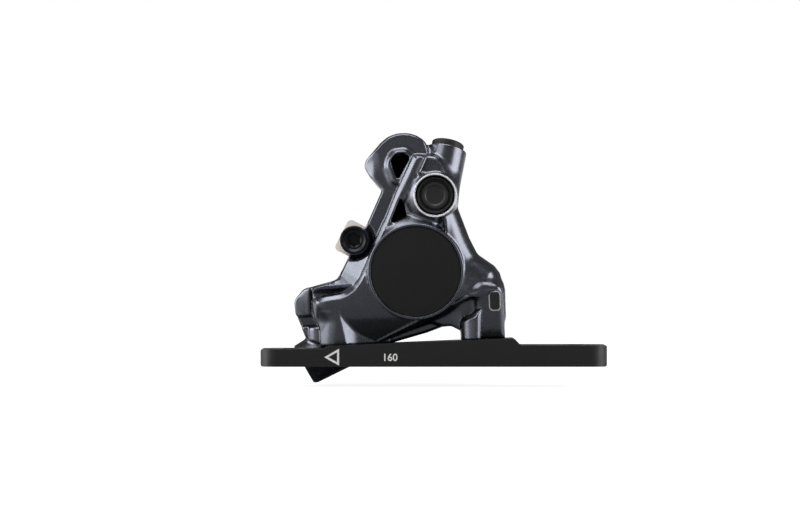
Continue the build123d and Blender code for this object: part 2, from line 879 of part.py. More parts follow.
def make_pad_spring():
    half_length = pad_length / 2
    bar_low = half_length - spring_bar_width
    bar_high = half_length
    leg_outer = pad_width / 2 - spring_side_margin
    leg_centre = leg_outer - spring_leg_width / 2
    tab_end = axle_reach + spring_tab_overreach
    tab_centre = (bar_low + tab_end) / 2
    face = Pos(tab_centre, 0) * Rectangle(tab_end - bar_low, spring_tab_width)
    face += Pos((bar_low + bar_high) / 2, 0) * Rectangle(spring_bar_width, 2 * leg_outer)
    for leg in (-leg_centre, leg_centre):
        leg_length = bar_high + spring_leg_reach
        face += Pos(bar_high - leg_length / 2, leg) * Rectangle(leg_length, spring_leg_width)
    face -= Pos(axle_reach, 0) * Circle(axle_radius + tab_hole_clearance)
    outer = backing_depth - spring_gap
    spring = pad_side(1, outer - spring_sheet, outer, face)
    spring += pad_side(-1, outer - spring_sheet, outer, face)
    strip = Pos(bar_high - spring_sheet / 2, 0) * Rectangle(spring_sheet, spring_bridge_width)
    return spring + extrude(pad_plane(-outer) * strip, 2 * outer, dir=(0, -1, 0))


# Pad axle, and the ring that locks its free end
axle_head_radius = 3.5
axle_head_height = 3.2
axle_head_edge = 0.5
axle_socket = 3.0
axle_socket_depth = 2.2
axle_tail = 2.6
clip_groove = 0.45
clip_thickness = 0.6
clip_setback = 0.5
clip_outer_radius = 3.2
clip_opening = 2.2


def make_pad_axle():
    """Heights run outboard from the rotor's middle plane."""
    head_top = ear_depth + axle_head_height
    tail = -ear_depth - axle_tail
    groove_top = -ear_depth - clip_setback
    groove_low = groove_top - clip_thickness - 2 * assembly_clearance
    groove_radius_here = axle_radius - clip_groove
    profile = [
        (0, tail),
        (axle_radius - clip_groove, tail),
        (axle_radius, tail + clip_groove),
        (axle_radius, groove_low),
        (groove_radius_here, groove_low),
        (groove_radius_here, groove_top),
        (axle_radius, groove_top),
        (axle_radius, ear_depth),
        (axle_head_radius, ear_depth),
        (axle_head_radius, head_top - axle_head_edge),
        (axle_head_radius - axle_head_edge, head_top),
        (0, head_top),
    ]
    socket = hex_socket(axle_socket, head_top - axle_socket_depth, head_top + overrun, outboard_pin_axis)
    return turned(profile, outboard_pin_axis) - socket


def make_pad_axle_clip():
    low = ear_depth + clip_setback + assembly_clearance
    inner = axle_radius - clip_groove + assembly_clearance
    clip = ring(inner, clip_outer_radius, low, low + clip_thickness, inboard_pin_axis)
    mouth = Box(clip_outer_radius, clip_opening, overrun + low, align=(Align.MIN, Align.CENTER, Align.MIN))
    return clip - inboard_pin_axis.location * mouth


# Bleed nipple, and the rubber cap that closes the bleed port
nipple_length = 3.2
nipple_bore = 0.9
nipple_tip_radius = 1.9
nipple_tip_length = 1.0
bleed_flange_radius = 4.0
bleed_flange_height = 1.0
bleed_plug_depth = 3.0
bleed_cap_gap = 0.05


def make_bleed_nipple():
    floor = -bleed_bore_depth
    shoulder = floor + nipple_length - nipple_tip_length
    outer = bleed_bore_radius - assembly_clearance
    profile = [
        (nipple_bore, floor + assembly_clearance),
        (outer, floor + assembly_clearance),
        (outer, shoulder),
        (nipple_tip_radius, shoulder),
        (nipple_tip_radius, floor + nipple_length),
        (nipple_bore, floor + nipple_length),
    ]
    return turned(profile, bleed_axis())


def make_bleed_port_cap():
    plug = bleed_bore_radius - assembly_clearance
    edge = bleed_flange_height / 3
    profile = [
        (0, -bleed_plug_depth),
        (plug, -bleed_plug_depth),
        (plug, bleed_cap_gap),
        (bleed_flange_radius, bleed_cap_gap),
        (bleed_flange_radius, bleed_flange_height - edge),
        (bleed_flange_radius - edge, bleed_flange_height),
        (0, bleed_flange_height),
    ]
    return turned(profile, bleed_axis())


# Valve screw with its ring, and the rubber cap over it
screw_head_radius = 3.1
screw_stem_radius = 2.2
screw_socket = 3.0
screw_socket_depth = 2.2
screw_seal_radius = 0.6
valve_cap_recess = 0.8
valve_cap_thickness = 3.4
valve_cap_edge = 0.5
valve_cap_groove = 0.7
valve_cap_ring_radius = 3.8
valve_cap_dish_radius = 2.6
valve_cap_dish = 0.3


def make_valve_screw():
    low = valve_floor_depth + assembly_clearance
    top = valve_step_depth
    seal_centre = (low + top) / 2
    seal_half = screw_seal_radius + assembly_clearance
    body_radius = valve_screw_radius
    waist = body_radius - 2 * screw_seal_radius
    profile = [
        (0, low),
        (screw_stem_radius, low),
        (body_radius, low + body_radius - screw_stem_radius),
        (body_radius, seal_centre - seal_half),
        (waist, seal_centre - seal_half),
        (waist, seal_centre + seal_half),
        (body_radius, seal_centre + seal_half),
        (body_radius, top),
        (0, top),
    ]
    socket = hex_socket(screw_socket, top - screw_socket_depth, top + overrun, valve_axis)
    return turned(profile, valve_axis) - socket


def make_valve_screw_seal():
    seal_centre = (valve_floor_depth + assembly_clearance + valve_step_depth) / 2
    seal_place = Pos(valve_screw_radius - screw_seal_radius, seal_centre)
    section = Plane.XZ * seal_place * Circle(screw_seal_radius)
    return valve_axis.location * revolve(section, Axis.Z)


def make_valve_cap():
    outer = valve_port_radius - assembly_clearance
    top = valve_face_depth - valve_cap_recess
    low = top - valve_cap_thickness
    profile = [
        (0, low),
        (outer, low),
        (outer, top - valve_cap_edge),
        (outer - valve_cap_edge, top),
        (valve_cap_ring_radius + valve_cap_groove / 2, top),
        (valve_cap_ring_radius, top - valve_cap_groove),
        (valve_cap_ring_radius - valve_cap_groove / 2, top),
        (valve_cap_dish_radius, top),
        (valve_cap_dish_radius - valve_cap_dish, top - valve_cap_dish),
        (0, top - valve_cap_dish),
    ]
    return turned(profile, valve_axis)


# Retainers that snap into the feet and stop the caliper bolts from turning back
retainer_gap = 0.1


def make_bolt_retainers():
    return [window_block(plane, retainer_gap) for plane in window_planes()]


def write(name, shape):
    solids = shape if isinstance(shape, list) else [shape]
    export_step(Compound(children=solids) if len(solids) > 1 else solids[0], f"parts/{name}.step")


write("mount_plate", make_mount_plate())
write("plate_bolts", [make_plate_bolt(side) for side in (-1, 1)])
write("caliper_body", make_caliper_body())
write("bore_cap", make_bore_cap())
write("bore_cap_seal", make_bore_cap_seal())
write("outboard_piston", make_piston(outboard_piston_axis))
write("inboard_piston", make_piston(inboard_piston_axis))
write("outboard_piston_seal", make_piston_seal(outboard_piston_axis))
write("inboard_piston_seal", make_piston_seal(inboard_piston_axis))
write("outboard_pad_backing", make_pad_backing(1))
write("inboard_pad_backing", make_pad_backing(-1))
write("outboard_pad_lining", make_pad_lining(1))
write("inboard_pad_lining", make_pad_lining(-1))
write("pad_spring", make_pad_spring())
write("pad_axle", make_pad_axle())
write("pad_axle_clip", make_pad_axle_clip())
write("bleed_nipple", make_bleed_nipple())
write("bleed_port_cap", make_bleed_port_cap())
write("valve_screw", make_valve_screw())
write("valve_screw_seal", make_valve_screw_seal())
write("valve_cap", make_valve_cap())
write("bolt_retainers", make_bolt_retainers())
write("passage_plugs", make_passage_plugs())
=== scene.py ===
import math
import bmesh
import bpy
import numpy as np
from mathutils import Matrix, Vector


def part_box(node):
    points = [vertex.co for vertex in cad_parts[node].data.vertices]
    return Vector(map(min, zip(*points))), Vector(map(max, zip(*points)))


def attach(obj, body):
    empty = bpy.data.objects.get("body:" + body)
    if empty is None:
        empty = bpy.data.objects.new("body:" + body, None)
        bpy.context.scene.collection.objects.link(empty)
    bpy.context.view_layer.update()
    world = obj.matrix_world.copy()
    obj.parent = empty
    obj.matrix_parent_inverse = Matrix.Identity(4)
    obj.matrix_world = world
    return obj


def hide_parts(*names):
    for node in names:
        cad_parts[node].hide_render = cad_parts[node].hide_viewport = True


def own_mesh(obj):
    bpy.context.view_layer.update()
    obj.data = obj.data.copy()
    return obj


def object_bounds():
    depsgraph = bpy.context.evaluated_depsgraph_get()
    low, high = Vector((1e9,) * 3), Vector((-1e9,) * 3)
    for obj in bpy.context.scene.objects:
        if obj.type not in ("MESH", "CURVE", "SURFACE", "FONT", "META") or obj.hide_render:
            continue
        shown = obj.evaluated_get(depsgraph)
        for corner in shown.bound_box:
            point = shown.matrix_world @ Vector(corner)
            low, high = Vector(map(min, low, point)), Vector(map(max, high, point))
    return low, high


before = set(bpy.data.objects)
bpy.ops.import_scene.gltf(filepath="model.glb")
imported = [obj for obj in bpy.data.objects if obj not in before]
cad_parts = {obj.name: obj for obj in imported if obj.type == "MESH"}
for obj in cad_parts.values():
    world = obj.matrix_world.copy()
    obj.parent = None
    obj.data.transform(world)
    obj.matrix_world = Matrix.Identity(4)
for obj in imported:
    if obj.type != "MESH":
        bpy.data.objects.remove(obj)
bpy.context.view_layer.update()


# Adapter plate: an extruded aluminium bar, milled and drilled, then blasted and anodised black. It
# lies flat on the fork, bolted there through the slots at its ends, and carries the caliper.
MM = 0.001


def srgb(code):
    """An sRGB hex colour in Blender's linear values."""
    channels = [int(code[i:i + 2], 16) / 255 for i in (1, 3, 5)]
    linear = [c / 12.92 if c <= 0.04045 else ((c + 0.055) / 1.055) ** 2.4 for c in channels]
    return (*linear, 1.0)


def add(tree, kind, settings, links=None):
    """One shader node: settings go to its properties or sockets, links come from other sockets."""
    node = tree.nodes.new("ShaderNode" + kind)
    for name, value in settings.items():
        if isinstance(name, str) and name in node.bl_rna.properties:
            setattr(node, name, value)
        else:
            node.inputs[name].default_value = value
    for name, source in (links or {}).items():
        tree.links.new(source, node.inputs[name])
    return node


def finish(name, colour, metallic, roughness, grain, shades, sheen=None, relief=None, detail=2.0,
           stretch=(1, 1, 1), flake=None, more=None):
    """A material with its plain values and a grain that varies them. The grain's size and the depth of
    its relief are in real millimetres, its shades go from dark to light and its sheen from glossy to
    dull. A flake is a finer grain, given by size and detail, that takes the shades in its place."""
    material = bpy.data.materials.new(name)
    material.use_nodes = True
    tree = material.node_tree
    bsdf = tree.nodes["Principled BSDF"]
    plain = {"Base Color": srgb(colour), "Metallic": metallic, "Roughness": roughness, **(more or {})}
    for socket, value in plain.items():
        bsdf.inputs[socket].default_value = value
    place = add(tree, "TexCoord", {})
    mapping = add(tree, "Mapping", {"Scale": stretch}, {"Vector": place.outputs["Object"]})
    patterns = []
    for size, depth in [(grain, detail)] + ([flake] if flake else []):
        noise = add(tree, "TexNoise", {"Scale": 1 / (size * MM), "Detail": depth},
                    {"Vector": mapping.outputs[0]})
        patterns.append(noise.outputs["Fac"])
    ramp = add(tree, "ValToRGB", {}, {"Fac": patterns[-1]})
    for stop, shade in zip(ramp.color_ramp.elements, shades):
        stop.color = srgb(shade)
    tree.links.new(ramp.outputs["Color"], bsdf.inputs["Base Color"])
    if sheen:
        glossy, dull = sheen
        spread = add(tree, "MapRange",
                     {"From Min": 0.3, "From Max": 0.7, "To Min": glossy, "To Max": dull},
                     {"Value": patterns[0]})
        tree.links.new(spread.outputs["Result"], bsdf.inputs["Roughness"])
    if relief:
        bump = add(tree, "Bump", {"Distance": relief * MM, "Strength": 1.0}, {"Height": patterns[0]})
        tree.links.new(bump.outputs["Normal"], bsdf.inputs["Normal"])
    return material


def dress(node, material):
    """A CAD node that keeps its shape gets its material."""
    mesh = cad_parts[node].data
    mesh.materials.clear()
    mesh.materials.append(material)


# Blasting leaves a fine even grain, drawn at 0.25 mm, coarser than the grit, so that it shows. The
# anodising lays a dark, slightly warm sheen on it.
blasted = finish("blasted anodised aluminium", "#161617", metallic=0.3, roughness=0.45, grain=0.25,
                 detail=3.0, shades=("#121213", "#1c1c1e"), sheen=(0.4, 0.52), relief=0.012)
dress("mount_plate", blasted)


# Marking on the plate's outboard face: an outlined arrow and a plain number, burnt through the
# anodising by a laser, so they stand in bare aluminium level with the face.
def put(name, data):
    """An object that holds the data, put in the scene."""
    holder = bpy.data.objects.new(name, data)
    bpy.context.scene.collection.objects.link(holder)
    return holder


def fit_piece(name, mesh, body_name, replaced=()):
    """A mesh becomes a piece that rides on a CAD body and may stand for nodes, which it hides."""
    piece = put(name, mesh)
    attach(piece, body_name)
    if replaced:
        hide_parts(*replaced)
    return piece


def bare_mesh(name, vertices, faces, materials, smooth):
    """A mesh in the row frame from vertices in metres."""
    mesh = bpy.data.meshes.new(name)
    mesh.from_pydata([tuple(v) for v in vertices], [], [tuple(f) for f in faces])
    for material in materials:
        mesh.materials.append(material)
    mesh.polygons.foreach_set("use_smooth", [smooth] * len(mesh.polygons))
    return mesh


def hoop(rings):
    """The vertices and faces of a closed frame, in which each ring of corners joins the next."""
    size = len(rings[0])
    faces = []
    for number in range(len(rings)):
        here, ahead = number * size, (number + 1) % len(rings) * size
        for i in range(size):
            j = (i + 1) % size
            faces.append((here + i, here + j, ahead + j, ahead + i))
    return [corner for ring in rings for corner in ring], faces


# The laser leaves the bared metal finely pitted, so that it looks pale grey and dull
lasered = finish("lasered bare aluminium", "#d8d8d5", metallic=0.1, roughness=0.6, grain=0.05,
                 detail=1.0, shades=("#cacac7", "#e6e6e3"), relief=0.004)
plate_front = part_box("mount_plate")[0][1]
mark_height = 0.02 * MM
arrow_tip_x, arrow_tip_z = -27.2 * MM, 2.4 * MM
arrow_length = 3.7 * MM
arrow_spread = 2.1 * MM
arrow_stroke = 0.5 * MM
arrow_base_x = arrow_tip_x + arrow_length
inscribed_radius = arrow_length * arrow_spread / (arrow_spread + math.hypot(arrow_length, arrow_spread))
inner_share = 1 - arrow_stroke / inscribed_radius
arrow_middle_x = arrow_base_x - inscribed_radius
arrow_outer = [(arrow_tip_x, arrow_tip_z), (arrow_base_x, arrow_tip_z - arrow_spread),
               (arrow_base_x, arrow_tip_z + arrow_spread)]
arrow_inner = [(arrow_middle_x + inner_share * (x - arrow_middle_x),
                arrow_tip_z + inner_share * (z - arrow_tip_z)) for x, z in arrow_outer]
arrow_rings = [[(x, plate_front + rise, z) for x, z in corners]
               for corners, rise in ((arrow_outer, -mark_height), (arrow_inner, -mark_height),
                                     (arrow_inner, mark_height), (arrow_outer, mark_height))]
arrow_mesh = bare_mesh("plate_arrow", *hoop(arrow_rings), [lasered], smooth=False)
fit_piece("plate_arrow", arrow_mesh, "caliper")

numeral_curve = bpy.data.curves.new("plate_number", "FONT")
numeral_curve.body = "160"
numeral_curve.size = 2.55 * MM
numeral_curve.extrude = mark_height
numeral_curve.offset = 0.03 * MM
numeral_holder = put("number_outline", numeral_curve)
bpy.context.view_layer.update()
drawn_numeral = numeral_holder.evaluated_get(bpy.context.evaluated_depsgraph_get())
numeral_mesh = bpy.data.meshes.new_from_object(drawn_numeral)
bpy.data.objects.remove(numeral_holder)
numeral_place = (-12.8 * MM, plate_front, 1.5 * MM)
numeral_mesh.transform(Matrix.Translation(numeral_place) @ Matrix.Rotation(math.pi / 2, 4, "X"))
numeral_mesh.materials.clear()
numeral_mesh.materials.append(lasered)
fit_piece("plate_number", numeral_mesh, "caliper")


# Caliper bolts: two cold-headed steel screws, heat treated and blackened. They come from beneath the
# plate, through its bores, into the threads of the caliper's feet.
# The oxide is a dark, half-glossy skin, slightly uneven where it has been oiled
black_oxide = finish("black oxide steel", "#202022", metallic=0.9, roughness=0.34, grain=0.35,
                     shades=("#1a1a1c", "#2b2b2e"), sheen=(0.28, 0.42), relief=0.003)
dress("plate_bolts", black_oxide)


# Caliper body: one aluminium forging, tumbled smooth, painted a glossy dark grey outside, with its
# bores, faces and ports machined. It stands on the plate at a slight slope. Soft fillets join its
# bosses, and crisp bevelled ridges edge its raised front.
SEAT_X, SEAT_Z = -5.0, 6.0
SEAT_TILT = math.radians(2.4)
COS_TILT, SIN_TILT = math.cos(SEAT_TILT), math.sin(SEAT_TILT)
ROTOR_Y = 14.0


def centre_of(node):
    """The middle of a node's box, in millimetres."""
    low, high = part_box(node)
    return (np.array(low) + np.array(high)) / 2 / MM


def seat_line(x, z):
    """A direction in the side view, turned to the seat's slope."""
    return x * COS_TILT + z * SIN_TILT, z * COS_TILT - x * SIN_TILT


def on_seat(x, z):
    """A place in the side view, along and above the seat."""
    return seat_line(x - SEAT_X, z - SEAT_Z)


def off_seat(u, v):
    """A place along and above the seat, back in the side view."""
    return SEAT_X + u * COS_TILT - v * SIN_TILT, SEAT_Z + u * SIN_TILT + v * COS_TILT


def spot_of(node):
    """The middle of a node's box, along and above the seat."""
    x, _, z = centre_of(node)
    return on_seat(x, z)


# The body is worked out on a grid, as distances to its surface in millimetres, negative inside it.
# U runs along the seat, Y across the rotor and V up from the seat.
grid_step = 0.25
U = np.arange(-31.5, 25.0, grid_step, dtype=np.float32)[:, None, None]
Y = np.arange(-9.0, 33.5, grid_step, dtype=np.float32)[None, :, None]
V = np.arange(-9.5, 54.0, grid_step, dtype=np.float32)[None, None, :]


def rounded(points, radii):
    """A closed outline with an arc at each corner."""
    if not isinstance(radii, (list, tuple)):
        radii = [radii] * len(points)
    points = [np.array(p, float) for p in points]
    arc_steps = 8
    path = []
    for i, (corner, radius) in enumerate(zip(points, radii)):
        back = points[i - 1] - corner
        ahead = points[(i + 1) % len(points)] - corner
        back_length, ahead_length = np.linalg.norm(back), np.linalg.norm(ahead)
        back, ahead = back / back_length, ahead / ahead_length
        half = math.acos(np.clip(back @ ahead, -1, 1)) / 2
        if half > 0.49 * math.pi or radius <= 0:
            path.append(corner)
            continue
        setback = min(radius / math.tan(half), 0.49 * back_length, 0.49 * ahead_length)
        radius = setback * math.tan(half)
        middle = corner + (back + ahead) / np.linalg.norm(back + ahead) * radius / math.sin(half)
        start = corner + back * setback - middle
        end = corner + ahead * setback - middle
        sweep = math.atan2(start[0] * end[1] - start[1] * end[0], start @ end)
        for step in range(arc_steps + 1):
            turn = sweep * step / arc_steps
            path.append(middle + np.array([start[0] * math.cos(turn) - start[1] * math.sin(turn),
                                           start[0] * math.sin(turn) + start[1] * math.cos(turn)]))
    return path


def outline(points):
    """Distance from a closed outline in the side view."""
    across, up = U[:, :, 0], V[0]
    nearest = np.full(np.broadcast_shapes(across.shape, up.shape), 1e9, np.float32)
    inside = np.zeros(nearest.shape, bool)
    for a, b in zip(points, points[1:] + points[:1]):
        run, rise = b[0] - a[0], b[1] - a[1]
        length_squared = run * run + rise * rise + 1e-12
        share = np.clip(((across - a[0]) * run + (up - a[1]) * rise) / length_squared, 0, 1)
        nearest = np.minimum(nearest, (across - a[0] - share * run) ** 2 + (up - a[1] - share * rise) ** 2)
        if a[1] != b[1]:
            crosses = (a[1] > up) != (b[1] > up)
            inside ^= crosses & (across < a[0] + (up - a[1]) / rise * run)
    return np.where(inside, -1, 1)[:, None, :] * np.sqrt(nearest)[:, None, :]


def join(a, b, soft):
    """Two forms in one, with a fillet where they meet."""
    near = np.maximum(soft - np.abs(a - b), 0)
    return np.minimum(a, b) - near * near / (4 * soft)


def trim(a, b, soft):
    """What two forms share, with a rounded edge where they meet."""
    near = np.maximum(soft - np.abs(a - b), 0)
    return np.maximum(a, b) + near * near / (4 * soft)


def carve(a, b, soft):
    """A form with another cut out of it."""
    return trim(a, -b, soft)


def together(*forms):
    """Several forms in one, with nothing rounded where they meet."""
    whole = forms[0]
    for form in forms[1:]:
        whole = np.minimum(whole, form)
    return whole


def between(low, high, along=Y):
    """What lies between two places, across the rotor unless another way is given."""
    return np.abs(along - (low + high) / 2) - (high - low) / 2


def disc(place, radius):
    """A cylinder across the rotor."""
    return np.hypot(U - place[0], V - place[1]) - radius


def post(u, y, radius):
    """A cylinder that stands up from the seat."""
    return np.hypot(U - u, Y - y) - radius


def smooth_step(value, start, end):
    """0 before the start, 1 after the end, and a smooth rise between them."""
    share = np.clip((value - start) / (end - start), 0, 1)
    return share * share * (3 - 2 * share)


def slanted_bar(place, axis, radius, low, high, soft=0.1, draft=0.0):
    """A cylinder along any axis, from one height to another on it, wider below by its draft."""
    u, y, v = U - place[0], Y - place[1], V - place[2]
    along = u * axis[0] + y * axis[1] + v * axis[2]
    away = np.sqrt(np.maximum(u ** 2 + y ** 2 + v ** 2 - along ** 2, 0))
    return trim(away - radius + draft * along, between(low, high, along), soft)


piston_spot, valve_spot, axle_spot = spot_of("bore_cap"), spot_of("valve_cap"), spot_of("pad_axle")
PLATEAU = 0.0
FRONT = -5.75
VALLEY = -4.3
LIP = -7.35
VALVE_FACE = -6.95
foot_bolt_u = 17.0

# The plateau: the neck's flank and the top of the lower bridge in one face. Beside the ridge the neck
# leans back from it in a facet, below the axle.
plateau_points = [
    (-3.4, 46.8), (-6.4, 38.1), (-10.6, 29.6), (-15.4, 21.9), (-18.2, 16.6), (-20.4, 15.8), (-24.9, 14.6),
    (-24.9, 7.3), (-23.2, 4.2), (-23.2, 0.0), (-4.9, 0.1), (3.5, 2.2), (7.66, 3.6), (9.44, 3.66),
    (12.2, 3.5), (22.7, 5.2), (22.85, 13.9), (22.3, 16.4), (21.0, 18.1), (16.9, 21.2), (15.0, 25.3),
    (12.3, 33.3), (12.5, 36.0), (11.0, 44.0),
]
plateau_radii = [1, 2, 4, 4, 1.6, 1.5, 1.5, 1, 1, 0.5, 1, 3, 2, 2, 2, 0.5, 2, 2, 2, 3, 5, 3, 2, 2]
plateau_outline = outline(rounded(plateau_points, plateau_radii))
ridge_line = [
    (2.31, 46.07), (0.23, 41.85), (-2.37, 37.13), (-4.98, 31.54), (-7.92, 25.85), (-10.55, 19.96),
    (-12.71, 16.05), (-14.35, 13.94), (-16.36, 12.57), (-17.96, 12.01), (-25.5, 11.2),
]
right_of_ridge = [(-25.5, -20), (40, -20), (40, 46.07)]
left_of_ridge = outline(ridge_line + right_of_ridge)
neck_zone = smooth_step(V, 12.6, 15.2) * (1 - smooth_step(V, 23.5, 26.0))
facet_start, facet_slope, neck_set_back = FRONT + 1.5, 0.72, 0.4
neck_facet = (facet_start + facet_slope * left_of_ridge) * neck_zone + neck_set_back * (1 - neck_zone)
neck_front = np.where(U < -2.0, np.minimum(PLATEAU, neck_facet), PLATEAU)
draft_width, draft_depth = 0.35, 1.5
draft = draft_width * np.clip(1 - (Y - neck_front) / draft_depth, 0, 1)
neck_edge = np.where(U < -3.0, 0.12, 0.25)
body = trim(plateau_outline + draft, trim((neck_front - Y) * 0.8, Y - ROTOR_Y, 0.2), neck_edge)

# The hook over the rotor's edge, softer round its nose and behind its front
hook_points = [
    (-10.6, 44.3), (-9.3, 41.9), (-6.2, 38.0), (0.0, 35.5), (6.1, 42.8), (5.75, 47.5), (5.1, 50.1),
    (2.9, 51.6), (0.9, 52.3), (-1.9, 52.35), (-4.3, 51.6), (-6.2, 50.1), (-10.0, 46.0),
]
hook_back = 28.0
hook_outline = outline(rounded(hook_points, [2.5, 2.5, 0.5, 1, 2, 4, 3, 4, 6, 6, 5, 6, 3]))
nose_depth = np.clip(-6.2 - U - 0.045 * (V - 44.4) ** 2, 0, None)
nose_bend, nose_slope = 2.4, 0.72
nose_lean = nose_slope * np.where(nose_depth < nose_bend, nose_depth ** 2 / (2 * nose_bend),
                                  nose_depth - nose_bend / 2)
hook_edge = np.where(Y > 8, 1.25, 0.25)
hook = trim(hook_outline + draft, trim(PLATEAU + nose_lean - Y, Y - hook_back, 0.2), hook_edge)
body = join(body, hook, 0.7)

# The raised front between its ridges: each corner on the front, the same corner down on the plateau,
# and how much of the way out it is at the foot of the ridge's bevel
front_corners = [
    ((2.9, 46.2), (1.95, 46.95), 0.9), ((0.7, 41.7), (-0.45, 42.3), 0.9),
    ((-1.9, 36.9), (-3.0, 37.45), 0.9), ((-4.5, 31.3), (-5.5, 31.8), 0.9),
    ((-7.4, 25.6), (-8.35, 26.05), 0.9), ((-10.1, 19.7), (-11.0, 20.15), 0.9),
    ((-12.3, 15.7), (-13.1, 16.3), 0.9), ((-14.1, 13.5), (-14.8, 14.4), 0.9),
    ((-16.2, 12.1), (-16.8, 13.3), 0.9), ((-17.9, 11.5), (-18.2, 12.8), 0.9),
    ((-23.9, 10.9), (-24.9, 12.0), 0.85), ((-24.2, 7.4), (-24.9, 7.3), 0.5),
    ((-23.0, 4.2), (-23.2, 4.2), 0.5), ((-23.0, 0.0), (-23.2, 0.0), 0.5),
    ((-9.9, -0.3), (-4.9, 0.1), 0.08), ((0.0, 4.2), (3.5, 2.2), 0.08),
    ((7.0, 7.4), (8.6, 3.9), 0.08), ((14.0, 10.55), (12.6, 5.5), 0.1),
    ((19.6, 13.1), (22.6, 9.5), 0.15), ((20.9, 14.4), (22.8, 13.8), 0.3),
    ((20.0, 16.3), (21.2, 18.0), 0.4), ((15.6, 19.5), (16.9, 21.2), 0.4),
    ((13.2, 24.6), (15.0, 25.3), 0.35), ((10.6, 33.0), (12.3, 33.3), 0.35),
    ((10.6, 41.0), (12.4, 41.0), 0.35), ((7.0, 45.5), (8.0, 46.5), 0.35),
]
front_radii = [1.0, 2, 3, 3, 3, 3, 4, 4, 4, 4, 1.0, 1, 1, 0.3, 1, 3, 3, 3, 1.0, 1.5, 2.5, 3, 6, 5, 3, 2]


def front_outline(level):
    """The raised front's outline on its front, at the foot of its bevel or on the plateau."""
    points = []
    for near, far, bevel in front_corners:
        share = {"front": 0, "bevel": bevel, "plateau": 1}[level]
        points.append([a + share * (b - a) for a, b in zip(near, far)])
    return outline(rounded(points, front_radii))


# Below the cap the front leans in under itself down to the seat, and at its left end it turns aside
upper_lean = FRONT + 0.1 * (15.5 - V)
under_lean = FRONT + 0.75 + 0.55 * (8.0 - V)
left_lean = FRONT + 1.0 + 0.78 * (-20.0 - U) - 2.8 * smooth_step(V, 5.5, 11.5)
front_height = trim(trim(trim(np.float32(FRONT), upper_lean, 0.4), under_lean, 1.0), left_lean, 1.1)
behind = Y - front_height
bevel_depth = 1.35
upper = np.clip(behind / bevel_depth, 0, 1)
lower = np.clip((behind - bevel_depth) / (-FRONT - bevel_depth), 0, 1)
flank = (front_outline("front") * (1 - upper) + front_outline("bevel") * (upper - lower)
         + front_outline("plateau") * lower)
right_flank = smooth_step(U, 5.0, 10.5) * smooth_step(V, 13.5, 21.0)
shoulder = smooth_step(U, 8.0, 14.0) * smooth_step(V, 10.5, 14.5)
front_edge = 0.45 + np.maximum(5.0 * right_flank, 4.0 * shoulder)
raised = trim(flank * 0.9, trim(-behind, Y - ROTOR_Y, 0.2), front_edge)

# A shallow valley between the rib, the bore's flare and the valve boss, open and leaning back above
valley_points = [
    (6.8, 50.0), (2.35, 41.0), (-0.35, 36.2), (-3.15, 30.9), (-5.2, 26.5), (2.0, 24.0), (9.0, 24.0),
    (8.8, 31.0), (9.2, 38.0), (9.6, 40.5), (14.5, 42.5), (14.5, 50.0),
]
valley_floor = VALLEY + 0.28 * np.clip(V - 41.5, 0, None)
raised = carve(raised, trim(outline(rounded(valley_points, 1.0)), Y - valley_floor, 0.8), 0.7)
body = join(body, raised, 0.3)

# A fine bead runs along the lower ridge
bead_width, bead_height = 0.8, 0.38
bead_across = -0.4137 * (U + 9.9) + 0.9104 * (V + 0.3) - 0.3
bead_front = front_height - bead_height
bead = trim(np.abs(bead_across) - bead_width / 2, trim(bead_front - Y, Y + 1.0, 0.1), 0.45)
body = join(body, trim(bead, between(-9.0, 14.0, U), 0.2), 0.12)

# The loop round the hook's pocket
pocket_points = [(-3.9, 45.6), (-2.5, 47.15), (-0.45, 47.3), (1.05, 46.2), (-2.38, 40.3)]
pocket_outline = outline(rounded(pocket_points, [1.5, 1.5, 1.3, 0.8, 0.5]))
loop_height = 1.5
loop_rim = 1.15 - 0.8 * smooth_step(V, 43.0, 46.8)
loop_flank = (pocket_outline - loop_rim - (Y + loop_height) * 0.7) * 0.8
body = join(body, trim(loop_flank, trim(-loop_height - Y, Y - 1.0, 0.2), 0.3), 0.5)

# The boss round the bore, flared above and at its left into the front
upper_side = smooth_step(V, piston_spot[1] - 5.0, piston_spot[1] + 5.0)
upper_side = upper_side * (1 - 0.85 * smooth_step(U, 4.5, 9.0))
lip_radius, bore_boss_radius = 11.85, 15.0
bore_flare = disc(piston_spot, lip_radius) * 0.75 - (Y - LIP - 0.35) * 0.68 * upper_side
bore_flare = trim(bore_flare, LIP + 0.25 - Y, 0.15)
bore_boss = trim(bore_flare, trim(disc(piston_spot, bore_boss_radius), Y - ROTOR_Y, 0.2), 1.0)
bore_boss = trim(bore_boss, np.where((U < 4.0) & (V > 10.0), flank * 0.9, -9.0), 0.2)
body = join(body, bore_boss, 0.35)

# The valve's boss, flared to the left only, and the ear for the pad axle
valve_left = smooth_step(valve_spot[0] - U - 0.4 * (V - valve_spot[1]), -1.0, 3.5)
valve_rim_radius, valve_boss_radius = 5.5, 7.5
valve_flare = disc(valve_spot, valve_rim_radius) * 0.71 - (Y - VALVE_FACE - 0.3) * (0.1 + 0.6 * valve_left)
valve_flare = trim(valve_flare, disc(valve_spot, valve_boss_radius), 0.6)
valve_flare = trim(valve_flare, U - valve_spot[0] - 5.65, 0.5)
valve_boss = trim(valve_flare, trim(VALVE_FACE - Y, Y - ROTOR_Y, 0.2), 0.3)
body = join(body, valve_boss, 0.2 + 0.7 * valve_left)
ear_radius, ear_front, ear_back = 3.6, 2.2, 25.8
body = join(body, trim(disc(axle_spot, ear_radius), between(ear_front, ear_back), 0.5), 1.0)

